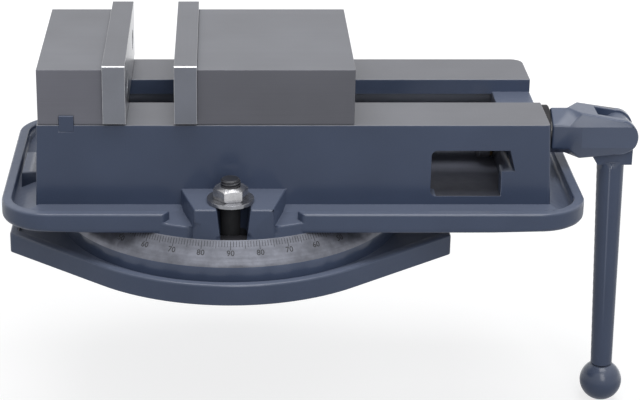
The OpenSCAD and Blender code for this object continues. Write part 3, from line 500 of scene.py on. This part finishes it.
def plated(name, colour, metal, rough, edge_colour, edge_wear_and_highlight=0.4, painted_shade_below=None):
    """Black oxide or zinc: cloudy tone, small pits and edges paler towards edge_colour by a given
    share.

    The paler edges are partly real wear, on black oxide, and partly a painted highlight, on the
    bolts' thread crests, the washers' rims and the nuts' edges. Below a given height the colour is
    painted a third as bright, and matt: painted shade in the boss's slot.
    """
    f = Finish(name)
    cloud = f.noise(f.place, scale=160.0, detail=4.0, roughness=0.6)
    pits = f.noise(f.place, scale=1300.0)
    tone = f.mix(f.tones(cloud), shade(colour, 0.8), shade(colour, 1.15))
    # Paler edges: real wear on black oxide, a painted highlight on zinc and on thread crests.
    tone = f.mix(f.math("MULTIPLY", f.edge(0.5 * MM), edge_wear_and_highlight), tone, edge_colour)
    grain = f.tones(cloud, *rough)
    # Painted shade: below the given height the tone is a third as bright.
    if painted_shade_below is not None:
        above = f.span(f.axis(f.place, "Z"), painted_shade_below - 1 * MM, painted_shade_below + 1 * MM)
        tone = f.mix(above, shade(colour, 0.35), tone)
        grain = f.math("SUBTRACT", grain, f.math("MULTIPLY", above, 0.5))
        grain = f.math("ADD", grain, 0.5)
    return f.set(Base_Color=tone, Metallic=metal, Roughness=grain,
                 Normal=f.bump(pits, distance=0.012 * MM, strength=0.4))


paint = enamel("enamel_blue_grey", (0.064, 0.085, 0.142))
crank_paint = enamel("enamel_crank", (0.056, 0.08, 0.144), coat=0.85)
# Walls of the chip chamber: paler than the outer enamel, painted light where little light reaches.
hollow_walls_painted_light = enamel("enamel_in_hollows_painted_light", (0.11, 0.118, 0.15), coat=0.1, painted_top_light=0.0)
# Floor of the chip chamber, painted darker towards its side walls as painted shade.
chamber_floor = hollow_floor("chamber_floor_painted_shade", shaded_sides=(0.044, 0.048, 0.066), pale_middle=(0.17, 0.18, 0.225))
# Guides in the chamber: machined bare, and painted pale as painted light in their shaded recess.
guide_steel_painted_light = ground("machined_guide_painted_light", (0.3, 0.32, 0.38), "x", 0.2, (0.4, 0.55), line=900.0)
jaw_steel = ground("ground_steel_jaws", (0.21, 0.215, 0.24), "x", 0.3, (0.36, 0.5))
# Milled sides of the jaws, painted darker than the tops as painted shade, the movable jaw's darker
# still.
fixed_side_painted_shade = ground("milled_steel_fixed_jaw_painted_shade", (0.14, 0.142, 0.168), "x", 0.3, (0.36, 0.5),
                          line=1100.0)
movable_side_painted_shade = ground("milled_steel_movable_jaw_painted_shade", (0.105, 0.107, 0.126), "x", 0.3,
                            (0.36, 0.5), line=1100.0)
way_steel = ground("ground_steel_ways", (0.20, 0.204, 0.228), "x", 0.3, (0.34, 0.46))
# Lighter and darker copies of one ground steel for the plates' tops and fronts: painted light and
# shade.
plate_top_painted_shade = ground("ground_steel_plate_tops_painted_shade", (0.17, 0.175, 0.2), "y", 0.3, (0.26, 0.38))
fixed_plate_painted_light = ground("ground_steel_fixed_plate_painted_light", (0.19, 0.2, 0.23), "y", 0.3, (0.26, 0.38))
movable_plate_painted_shade = ground("ground_steel_movable_plate_painted_shade", (0.15, 0.16, 0.19), "y", 0.3,
                             (0.26, 0.38))
grip_steel = ground("lapped_steel_grips", (0.5, 0.51, 0.53), "y", 0.9, (0.26, 0.36))
cone_steel = turned("turned_steel_scale", (0.19, 0.198, 0.232), "z", SWIVEL_AXIS, 0.75,
                    (0.34, 0.44), spread=0.75)
# Seat on top of the scale cone, painted near black as painted shade under the body.
seat_painted_shade = turned("turned_steel_seat_painted_shade", (0.05, 0.05, 0.058), "z", SWIVEL_AXIS, 0.3, (0.45, 0.55))
screw_steel = turned("turned_steel_screw", (0.45, 0.45, 0.46), "x", SCREW_AXIS)
nut_iron = ground("machined_iron_nut", (0.13, 0.13, 0.14), "x", 0.6, (0.4, 0.55), line=900.0)
black = plated("black_oxide", (0.02, 0.02, 0.024), 0.3, (0.3, 0.45), (0.14, 0.14, 0.15), edge_wear_and_highlight=0.6)
edge_steel = plated("polished_steel_edges", (0.72, 0.73, 0.75), 1.0, (0.16, 0.24),
                    (0.8, 0.8, 0.82), edge_wear_and_highlight=0.0)
bolt_black = plated("black_oxide_bolts", (0.045, 0.047, 0.055), 0.3, (0.3, 0.45),
                    (0.3, 0.3, 0.32), edge_wear_and_highlight=0.7, painted_shade_below=BOSS_TOP_Z)
dull_black = plated("black_oxide_dull", (0.012, 0.012, 0.015), 0.0, (0.55, 0.7),
                    (0.03, 0.03, 0.033))
dull_zinc = plated("dull_zinc", (0.26, 0.265, 0.285), 0.8, (0.2, 0.3), (0.85, 0.85, 0.87), edge_wear_and_highlight=0.8)
zinc = plated("bright_zinc", (0.42, 0.42, 0.435), 0.85, (0.18, 0.28), (0.8, 0.8, 0.82), edge_wear_and_highlight=0.5)
brass = plated("pressed_brass", (0.55, 0.38, 0.14), 1.0, (0.25, 0.4), (0.8, 0.65, 0.35))
ink = plated("filled_marks", (0.03, 0.03, 0.034), 0.0, (0.5, 0.7), (0.04, 0.04, 0.045), edge_wear_and_highlight=0.1)


def wear(piece, *materials):
    """Gives a piece its materials in the order of its face indices."""
    piece.data.materials.clear()
    for material in materials:
        piece.data.materials.append(material)
    return piece


def sort_faces(piece, index_of):
    """index_of takes face centres and normals as arrays and gives each face its material index."""
    mesh = piece.data
    count = len(mesh.polygons)
    centre, normal = np.empty(count * 3), np.empty(count * 3)
    mesh.polygons.foreach_get("center", centre)
    mesh.polygons.foreach_get("normal", normal)
    index = index_of(centre.reshape(-1, 3), normal.reshape(-1, 3)).astype(np.int32)
    mesh.polygons.foreach_set("material_index", index)


# Castings and blocks

def tray_distance(x, y):
    """Distance of a point outwards from the tray's corner middles, and whether it is in a corner.

    It is the root of the sum of the squares of how far x and y lie past those middles.
    """
    over_x = x - np.clip(x, TRAY_X0 + TRAY_CORNER_R, TRAY_X1 - TRAY_CORNER_R)
    over_y = np.abs(y) - np.minimum(np.abs(y), TRAY_HALF_W - TRAY_CORNER_R)
    return np.hypot(over_x, over_y), (np.abs(over_x) > 1 * MM) & (over_y > 1 * MM)


def body_radius(middle, along, turn):
    """Rounding of the bed and tray: wide on the tray's rim, less on bosses and bed, none inside."""
    x, y, z = middle.T
    ax, ay = np.abs(x), np.abs(y)
    upright = np.abs(along[:, 2]) > 0.7 * np.linalg.norm(along, axis=1)
    on_tray = (ay > BED_HALF_W + PAST_FACE) | (x < BED_X0 - PAST_FACE) | (x > BED_X1 + PAST_FACE)
    on_side = ay > BED_HALF_W - PAST_FACE
    below_ways = z < WAY_Z - PAST_FACE
    out, in_corner = tray_distance(x, y)
    outer = out > TRAY_CORNER_R - 2 * MM
    rim_top = on_tray & near(z, TRAY_TOP_Z, 0.3 * MM)
    low_edge = outer & near(z, TRAY_LOW_Z, 0.4 * MM)
    foot = on_tray & near(z, FOOT_TOP_Z, 0.3 * MM) & (np.hypot(x, y) > FOOT_R - 2 * MM)
    boss_top = on_tray & (z > BOSS_TOP_Z - 0.4 * MM) & (ax < BOSS_TOP_X)
    boss_side = on_tray & upright & between(z, BOSS_SIDE_Z0, BOSS_TOP_Z) & (ax < BOSS_SIDE_X)
    rim_end = upright & (ay > RIM_INSIDE_Y) & between(z, TRAY_LOW_Z + 2 * MM, TRAY_TOP_Z) & near(
        ax, RIM_END_X, 8 * MM)
    key_slot = on_side & below_ways & between(x, KEY_SLOT_X0, KEY_SLOT_X1) & (z > KEY_SLOT_Z0)
    way = z > WAY_Z - PAST_FACE
    end_wall = below_ways & (x > END_WALL_X0) & (z > END_WALL_Z0)
    window = on_side & between(x, WINDOW_X0, WINDOW_X1) & between(z, WINDOW_Z0, WINDOW_Z1)
    bed_corner = upright & (x < BED_X0 + PAST_FACE) & (ay > BED_HALF_W - 1 * MM) & (
        z > TRAY_TOP_Z + 1 * MM)
    return zone_radius(turn, (
        (rim_top & outer, 1.7), (rim_top & ~outer, 1.2),
        (low_edge, 1.2), (low_edge & in_corner, 4.0),
        (foot, 1.4), (boss_top, 1.3), (boss_side, 1.2), (rim_end, 2.0),
        (key_slot, 0.4), (way, 0.45), (end_wall, 0.8), (window, 0.3), (bed_corner, 1.0)))


def draft_crank_end(work):
    """Leans the bed's crank end outwards below the ways, beside the 60 mm round the screw.

    The end is first split at the edges of that strip. The lean is zero at the ways and at the
    strip, and grows in a straight line with the depth below the ways, to the full draft at 60 mm,
    and with the distance from the strip, to the full draft near the sides. The corner at the back
    is rounded, so its points lie further from the end.
    """
    strip, draft, depth, near_side = 30 * MM, 3.4 * MM, 60 * MM, BED_HALF_W - 3 * MM
    rounded_corner, plain_corner, lowest = 10 * MM, 3 * MM, 48 * MM
    for y in (-strip, strip):
        end = [f for f in work.faces
               if f.normal.x > SQUARE and f.calc_center_median().x > BED_X1 - ON_FACE]
        edges, corners = {e for f in end for e in f.edges}, {v for f in end for v in f.verts}
        bmesh.ops.bisect_plane(work, geom=end + list(edges) + list(corners), plane_co=(0, y, 0),
                               plane_no=(0, 1, 0))
    for v in work.verts:
        x, y, z = v.co
        reach = rounded_corner if y > 0 else plain_corner
        if BED_X1 - reach < x < BED_X1 + ON_FACE and abs(y) > strip and lowest < z < WAY_Z:
            side = min((abs(y) - strip) / (near_side - strip), 1.0)
            v.co.x += draft * side * (WAY_Z - z) / depth


def base_radius(middle, along, turn):
    """Rounding of the swivel base: wide on its rim, small under it, none in slots and cores."""
    x, y, z = middle.T
    on_plan = (np.hypot(x, y) > BASE_R - 9 * MM) | (np.abs(x) > EAR_X - 12 * MM)
    return zone_radius(turn, (
        (on_plan & near(z, BASE_RIM_TOP_Z, 0.5 * MM), 1.6), (on_plan & near(z, 0.0, 0.5 * MM), 0.8),
        (on_plan & near(z, BASE_PLATE_TOP_Z, 1 * MM), 1.0)))


def fork_radius(middle, along, turn):
    """Rounding of the crank: widest where flare and fork meet, little in slots, none in bores."""
    x, y, z = middle.T
    hub_bore = np.hypot(y, z - SCREW_Z) < HUB_BORE_R
    screw_bore = (np.hypot(x - HUB_SCREW_X, z - SCREW_Z) < HUB_SCREW_R) & (y > 0)
    slot = (np.abs(y) < FORK_SLOT_HALF_W) & (x > FORK_SLOT_X0)
    return zone_radius(turn, (
        (True, 1.3), (near(x, FORK_X, 0.6 * MM), 3.6), (slot, 0.5), (hub_bore | screw_bore, 0.0)))


def close_fork(work):
    """Makes one ring of the eight corners where flare and fork meet, and closes the pin bores.

    Each point of the ring goes to the nearest corner of the fork's section. The pin's ends are
    ground flush with the cheeks and painted over, so that no circle shows.
    """
    def on_bore(v):
        """Whether a point is as far from the pin's axis as the wall of its bore."""
        return abs(math.hypot(v.co.x - PIN_X, v.co.z - SCREW_Z) - PIN_BORE_R) < 0.02 * MM

    neck = [v for v in work.verts if abs(v.co.x - FLARE_X) < ON_FACE]
    bmesh.ops.remove_doubles(work, verts=neck, dist=RING_MERGE_DIST)
    ring = [v for v in work.verts if -FORK_OVERLAP - ON_FACE < v.co.x - FORK_X < ON_FACE]
    for v in ring:
        y, z = v.co.y, v.co.z - SCREW_Z
        corner = min(FORK_CORNERS, key=lambda c: math.hypot(abs(y) - c[0], abs(z) - c[1]))
        v.co = (FORK_X, math.copysign(corner[0], y), SCREW_Z + math.copysign(corner[1], z))
    bmesh.ops.remove_doubles(work, verts=ring, dist=RING_MERGE_DIST)
    bore = [f for f in work.faces if all(on_bore(v) for v in f.verts) and abs(f.normal.y) < 0.5]
    bmesh.ops.delete(work, geom=bore, context="FACES")
    bmesh.ops.holes_fill(work, edges=[e for e in work.edges if e.is_boundary], sides=0)
    bmesh.ops.recalc_face_normals(work, faces=work.faces)
    bmesh.ops.dissolve_limit(work, angle_limit=FLAT_TURN, verts=work.verts, edges=work.edges)


def shorten_pin(work):
    """Draws the pin's ends 0.5 mm back under the closed bores."""
    for v in work.verts:
        v.co.y *= PIN_SHARE


def plate_radius(middle, along, turn):
    """Rounding of the jaw plates: 1.1 mm at the front and back edges of the top, else 0.15 mm."""
    x, y, z = middle.T
    top_end = (z > PLATE_TOP_Z - PAST_FACE) & (np.abs(y) > PLATE_HALF_W - PAST_FACE)
    return zone_radius(turn, ((True, 0.15), (top_end, 1.1)))


def body_finish(centre, normal):
    """The ways are 1; in the chip chamber walls are 2, the floor 3, the guides 4; the rest is 0."""
    x, y, z = centre.T
    way = (normal[:, 2] > SQUARE) & (z > WAY_Z - ON_FACE)
    chamber = (np.abs(y) < CHAMBER_HALF_W) & between(x, CHAMBER_X0, CHAMBER_X1) & between(
        z, CHAMBER_Z0, LIP_Z + ON_FACE)
    guide, floor = z > GUIDE_Z + ON_FACE, normal[:, 2] > 0.7
    return np.select([way, chamber & guide, chamber & floor, chamber], [1, 4, 3, 2], 0)


def base_finish(centre, normal):
    """The scale cone is 1, the seat on top of it is 2, and the rest is 0."""
    x, y, z = centre.T
    machined = (np.hypot(x, y) < CONE_FOOT_R - 0.5 * MM) & (z > CONE_FOOT_Z - 7 * MM)
    return np.select([machined & (z > BASE_H - ON_FACE), machined], [2, 1], 0)


vise_body = softened("vise_body", "bed_casting", body_radius, segments=4,
                     prepare=draft_crank_end, wide_faces=True)
wear(vise_body, paint, way_steel, hollow_walls_painted_light, chamber_floor, guide_steel_painted_light)
sort_faces(vise_body, body_finish)

swivel_base = softened("swivel_base", "base_casting", base_radius, segments=4,
                       wide_faces=True)
wear(swivel_base, paint, cone_steel, seat_painted_shade)
sort_faces(swivel_base, base_finish)

# Jaw sides carry painted shade: darker copies of the steel than the tops.
for node, side_painted_shade in (("fixed_jaw", fixed_side_painted_shade), ("movable_jaw", movable_side_painted_shade)):
    block = wear(softened(node, f"{node}_block", even(0.45), segments=2),
                 jaw_steel, side_painted_shade)
    sort_faces(block, lambda c, n: np.where(np.abs(n[:, 2]) > SQUARE, 0, 1))
# The plates' fronts and tops carry painted light and shade through lighter and darker copies of one
# steel.
for node, name, grip, plate_face_painted_light_and_shade in (
        ("fixed_jaw_plate", "fixed_plate", 1, fixed_plate_painted_light),
        ("movable_jaw_plate", "movable_plate", -1, movable_plate_painted_shade)):
    plate = wear(softened(node, name, plate_radius, segments=1, edge_finish=3),
                 plate_face_painted_light_and_shade, plate_top_painted_shade, grip_steel, edge_steel)
    sort_faces(plate, lambda c, n: np.select(
        [n[:, 2] > SQUARE, n[:, 0] * grip > SQUARE], [1, 2], 0))
wear(softened("jaw_key", "cross_key", even(0.4), segments=2), paint)
wear(softened("jaw_nut", "nut_block", even(0.5), segments=2), nut_iron)
wear(softened("screw_collar", "collar", even(0.25), segments=2), dull_black)
wear(softened("clamp_washers", "washers", even(0.35), segments=2), dull_zinc)
for side in ("front", "back"):
    wear(softened(f"clamp_nut_{side}", f"nut_{side}", even(0.3), segments=2), zinc)
wear(softened("crank_hub", "crank_fork", fork_radius, prepare=close_fork),
     crank_paint)
wear(softened("handle_arm", "handle_rod", even(0.0)), paint)
wear(softened("ball_knob", "knob", even(0.5), segments=2, smooth_angle=40.0), paint)
wear(softened("fork_pin", "pin", even(0.0), prepare=shorten_pin), paint)


# Threads

def thread_rows(start, end, pitch, crest, root, hand, columns, crest_share):
    """Rows of a helical thread as (run, radius) over the angle.

    The profile of one pitch has a crest and a root joined by straight flanks; crest and root each
    take crest_share of it. Its breakpoints are carried along by hand * pitch * angle / turn, with
    hand 1 for a right-hand thread and -1 for a left-hand one, and the ends are cut square.
    """
    angle = np.arange(columns) / columns
    slope = (1.0 - 2 * crest_share) / 2
    marks = np.array([0.0, crest_share, crest_share + slope, 2 * crest_share + slope])
    heights = np.array([crest, crest, root, root])
    turns = int(math.ceil((end - start) / pitch)) + 2
    run = (np.arange(turns)[:, None] - 1 + marks[None]).reshape(-1)
    height = np.tile(heights, turns)
    along = start + pitch * (run[:, None] + hand * angle[None])
    phase = ((np.clip(along, start, end) - start) / pitch - hand * angle[None]) % 1.0
    held = np.interp(phase, np.append(marks, 1.0), np.append(heights, crest))
    radius = np.where((along < start) | (along > end), held, height[:, None])
    return np.clip(along, start, end), radius


def lathe_points(along, radius, axis, centre):
    """Rows of (run, radius) turned about an axis through centre.

    A column's angle is its share of a full turn. The point is the run along the axis, and across it
    the radius times the cosine and the sine of the angle. Rows of radius 0 close the ends.
    """
    columns = along.shape[1]
    angle = 2 * math.pi * np.arange(columns) / columns
    c, s = radius * np.cos(angle), radius * np.sin(angle)
    order = {"x": (along, c, s), "z": (c, s, along)}[axis]
    return np.stack(order, -1).reshape(-1, 3) + np.asarray(centre, float)


def closed_rows(profile, columns):
    """Rows of one (run, radius) pair each, the same at every angle."""
    profile = np.asarray(profile, float)
    return np.repeat(profile[:, :1], columns, 1), np.repeat(profile[:, 1:], columns, 1)


def turned_piece(before, thread, after, axis, centre):
    """Points and faces of a closed turned piece: plain rows, a thread, and plain rows again."""
    columns = thread[0].shape[1]
    rows = (closed_rows(before, columns), thread, closed_rows(after, columns))
    along, radius = (np.concatenate(parts) for parts in zip(*rows))
    return lathe_points(along, radius, axis, centre), grid_faces(len(along), columns)


thread_x0 = SCREW_X0 + THREAD_CHAMFER
lead = mesh_object(
    "lead_screw_threaded",
    *turned_piece(
        [(SCREW_X0, 0.0), (SCREW_X0, THREAD_TIP_R), (thread_x0, THREAD_ROOT_R)],
        thread_rows(thread_x0, THREAD_X1, THREAD_LEAD, THREAD_CREST_R, THREAD_ROOT_R, -1,
                    SCREW_COLUMNS, THREAD_CREST_SHARE),
        [(THREAD_X1, THRUST_R), (THRUST_X1, THRUST_R), (THRUST_X1, NECK_R), (NECK_X1, NECK_R),
         (NECK_X1, HUB_SEAT_R), (SCREW_X1, HUB_SEAT_R), (SCREW_X1, 0.0)],
        "x", SCREW_AXIS),
    "screw", "turned_steel", smooth_angle=28.0)
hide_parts("lead_screw")
wear(lead, screw_steel)


# Corners of a box as lower (0) or higher (1) along each axis, first the four below, and its faces
BOX_CORNERS = np.array([(x, y, z) for z in (0, 1) for x, y in ((0, 0), (1, 0), (1, 1), (0, 1))])
BOX_FACES = np.array([(0, 3, 2, 1), (4, 5, 6, 7), (0, 1, 5, 4), (1, 2, 6, 5), (2, 3, 7, 6),
                      (3, 0, 4, 7)])


def bolt_arrays(centre_y):
    """Points and faces of one clamping bolt: a threaded shank that stands on its square head.

    Near the top the radius is at most the root's plus the distance to the top, a chamfer.
    """
    along, radius = thread_rows(BOLT_THREAD_Z0, BOLT_TOP_Z, BOLT_PITCH, BOLT_R, BOLT_ROOT_R, 1,
                                BOLT_COLUMNS, BOLT_CREST_SHARE)
    radius = np.minimum(radius, BOLT_ROOT_R + np.maximum(BOLT_TOP_Z - along, 0.0))
    shank = turned_piece([(BOLT_HEAD_Z1, 0.0), (BOLT_HEAD_Z1, BOLT_R), (BOLT_THREAD_Z0, BOLT_R)],
                         (along, radius), [(BOLT_TOP_Z, 0.0)], "z", (0, centre_y, 0))
    half = BOLT_HEAD_HALF_W
    head = np.where(BOX_CORNERS == 1, (half, centre_y + half, BOLT_HEAD_Z1),
                    (-half, centre_y - half, BOLT_HEAD_Z0))
    return joined([shank, (head, BOX_FACES)])


bolts = mesh_object("clamping_bolts", *joined([bolt_arrays(-CLAMP_R), bolt_arrays(CLAMP_R)]),
                    "bed", "black_steel", smooth_angle=25.0)
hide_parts("t_bolts")
wear(bolts, bolt_black)


# Degree scale

CONE_SLOPE = np.array([CONE_FOOT_R - CONE_TOP_R, CONE_FOOT_Z - BASE_H])
CONE_NORMAL = np.array([-CONE_SLOPE[1], CONE_SLOPE[0]]) / np.hypot(*CONE_SLOPE)
CONE_LENGTH = math.hypot(*CONE_SLOPE)


def cone_point(degrees, down, lift):
    """Point on the scale cone: down is the share from its top edge to its foot, lift stands off it.

    Radius and height are those of the top edge plus down times the cone's slope plus lift times its
    outward normal. The point lies at that radius times the cosine and the sine of its angle.
    """
    r = CONE_TOP_R + CONE_SLOPE[0] * down + CONE_NORMAL[0] * lift
    z = BASE_H + CONE_SLOPE[1] * down + CONE_NORMAL[1] * lift
    a = np.radians(degrees)
    return np.stack(np.broadcast_arrays(r * np.cos(a), r * np.sin(a), z), -1)


def scale_ticks():
    """One slim bar for every degree, longer at 5 and longest at 10, as whole arrays of corners.

    Its corners lie half its width to either side of its degree, at its start and its end down the
    cone, and a little under and over the cone's face.
    """
    step = np.arange(360)
    ten, five = step % 10 == 0, step % 5 == 0
    length = np.select([ten, five], TICK_LENGTHS[:2], TICK_LENGTHS[2]) / CONE_LENGTH
    half = np.degrees(np.where(ten, *TICK_HALF_WIDTHS) / CONE_TOP_R)
    start = TICK_START / CONE_LENGTH
    corner = []
    for lift in (TICK_SUNK, TICK_PROUD):
        for side, end in ((-1, 0), (1, 0), (1, 1), (-1, 1)):
            corner.append(cone_point(step + side * half, start + end * length, lift))
    points = np.stack(corner, 1).reshape(-1, 3)
    faces = (BOX_FACES[None] + 8 * step[:, None, None]).reshape(-1, 4)
    return points, faces


ticks = mesh_object("scale_ticks", *scale_ticks(), "base", "black_steel")
wear(ticks, ink)


def flat_figure(number):
    """Points and faces of a number in plain figures, upright in the plane and centred on x."""
    words = bpy.data.curves.new("figure", "FONT")
    words.body = str(number)
    words.size = FIGURE_SIZE
    words.align_x = "CENTER"
    words.extrude = FIGURE_RAISE
    words.offset = FIGURE_WIDEN
    words.resolution_u = 3
    holder = bpy.data.objects.new("figure", words)
    bpy.context.scene.collection.objects.link(holder)
    shaped = holder.evaluated_get(bpy.context.evaluated_depsgraph_get())
    mesh = bpy.data.meshes.new_from_object(shaped)
    flat = np.empty(len(mesh.vertices) * 3)
    mesh.vertices.foreach_get("co", flat)
    faces = [list(p.vertices) for p in mesh.polygons]
    bpy.data.objects.remove(holder)
    bpy.data.curves.remove(words)
    bpy.data.meshes.remove(mesh)
    return flat.reshape(-1, 3), faces


def scale_digits():
    """Figures every ten degrees, from 0 at the ends to 90 at front and back, laid on the cone.

    A flat figure's x over a radius becomes an angle, its y a share of the cone's slope and its z
    the lift off the cone.
    """
    figures = []
    for place in range(0, 360, 10):
        turn = place % 180
        flat, faces = flat_figure(turn if turn <= 90 else 180 - turn)
        down = (FIGURE_FOOT - flat[:, 1]) / CONE_LENGTH
        around = place + np.degrees(flat[:, 0] / FIGURE_R)
        figures.append((cone_point(around, down, flat[:, 2]), faces))
    return joined(figures)


digits = mesh_object("scale_figures", *scale_digits(), "base", "black_steel")
wear(digits, ink)

# Inner and small solids keep their shape and get their finish
for node, material in (
        ("pivot_post", screw_steel), ("fixed_race", screw_steel), ("turning_race", screw_steel),
        ("bearing_balls", zinc), ("half_ball", screw_steel), ("ball_cage", brass),
        ("fixed_jaw_bolts", black), ("fixed_plate_screws", black), ("movable_plate_screws", black),
        ("nut_set_screw", black), ("collar_set_screw", black), ("hub_set_screw", black)):
    wear(nodes[node], material)


# Floor, light and camera

def seen_directly(graph):
    """1 for camera rays, reflections and light through glass, 0 for light that falls on things."""
    ray = graph.add("ShaderNodeLightPath").outputs
    seen = graph.math("MAXIMUM", ray["Is Camera Ray"], ray["Is Glossy Ray"])
    return graph.math("MAXIMUM", seen, ray["Is Transmission Ray"])


def backdrop():
    """Pale floor, one wide sheet under the hanging handle.

    Where it is seen it also glows, in a straight line of the distance from the middle: 0.72 up to
    0.45 m from it and 1 beyond 1.6 m.
    """
    half, height = 6.0, -146.0 * MM
    corners = [(x * half, y * half, height) for x, y in ((-1, -1), (1, -1), (1, 1), (-1, 1))]
    mesh = bpy.data.meshes.new("floor")
    mesh.from_pydata(corners, [], [(0, 1, 2, 3)])
    floor = bpy.data.objects.new("floor", mesh)
    bpy.context.scene.collection.objects.link(floor)
    material = bpy.data.materials.new("floor_white")
    material.use_nodes = True
    graph = Graph(material.node_tree)
    graph.tree.nodes.clear()
    plain = graph.add("ShaderNodeBsdfDiffuse", Color=(0.42, 0.42, 0.42, 1)).outputs[0]
    place = graph.add("ShaderNodeTexCoord").outputs["Object"]
    farther = graph.span(graph.vector("LENGTH", place)["Value"], 0.45, 1.6, 0.72, 1.0)
    strength = graph.math("MULTIPLY", seen_directly(graph), farther)
    glow = graph.add("ShaderNodeEmission", Strength=strength).outputs[0]
    surface = graph.fill(graph.add("ShaderNodeAddShader"), plain, glow)[0]
    graph.add("ShaderNodeOutputMaterial", Surface=surface)
    mesh.materials.append(material)


def area_light(name, place, aim, size, watts, mirrored=True):
    """Soft rectangular lamp at place, turned to face aim. mirrored lets glossy surfaces show it."""
    data = bpy.data.lights.new(name, "AREA")
    data.shape = "RECTANGLE"
    data.size, data.size_y = size
    data.energy = watts
    lamp = bpy.data.objects.new(name, data)
    lamp.location = place
    lamp.rotation_euler = (Vector(aim) - Vector(place)).to_track_quat("-Z", "Y").to_euler()
    lamp.visible_glossy = mirrored
    bpy.context.scene.collection.objects.link(lamp)


def studio():
    """Even pale light from all round, and a brighter plain grey where the world itself is seen."""
    world = bpy.data.worlds.new("studio")
    bpy.context.scene.world = world
    world.use_nodes = True
    graph = Graph(world.node_tree)
    graph.tree.nodes.clear()
    fill = graph.add("ShaderNodeBackground", Color=(0.95, 0.97, 1.0, 1), Strength=0.32).outputs[0]
    plain = graph.add("ShaderNodeBackground", Strength=1.0).outputs[0]
    surface = graph.fill(graph.add("ShaderNodeMixShader"), seen_directly(graph), fill, plain)[0]
    graph.add("ShaderNodeOutputWorld", Surface=surface)


backdrop()
area_light("overhead_panel", place=(0.1, -0.3, 1.8), aim=(0.1, -0.3, 0), size=(1.7, 0.95),
           watts=16.2)
area_light("front_panel", place=(0.35, -2.15, 1.42), aim=(0.05, 0, 0), size=(1.0, 1.9), watts=18)
area_light("rear_panel", place=(-0.5, 2.2, 1.2), aim=(0, 0, 0), size=(1.8, 1.0), watts=9,
           mirrored=False)
studio()

camera_data = bpy.data.cameras.new("camera")
camera_data.sensor_width = 36.0
camera_data.lens = 112.78
camera_data.shift_x = 0.1547
camera_data.clip_end = 50
camera = bpy.data.objects.new("camera", camera_data)
camera.location = (-0.0067, -1.4035, 0.5899)
camera.rotation_euler = (math.radians(68.0), 0, 0)
bpy.context.scene.collection.objects.link(camera)
bpy.context.scene.camera = camera
bpy.context.scene.view_settings.view_transform = "Standard"

bpy.context.view_layer.update()
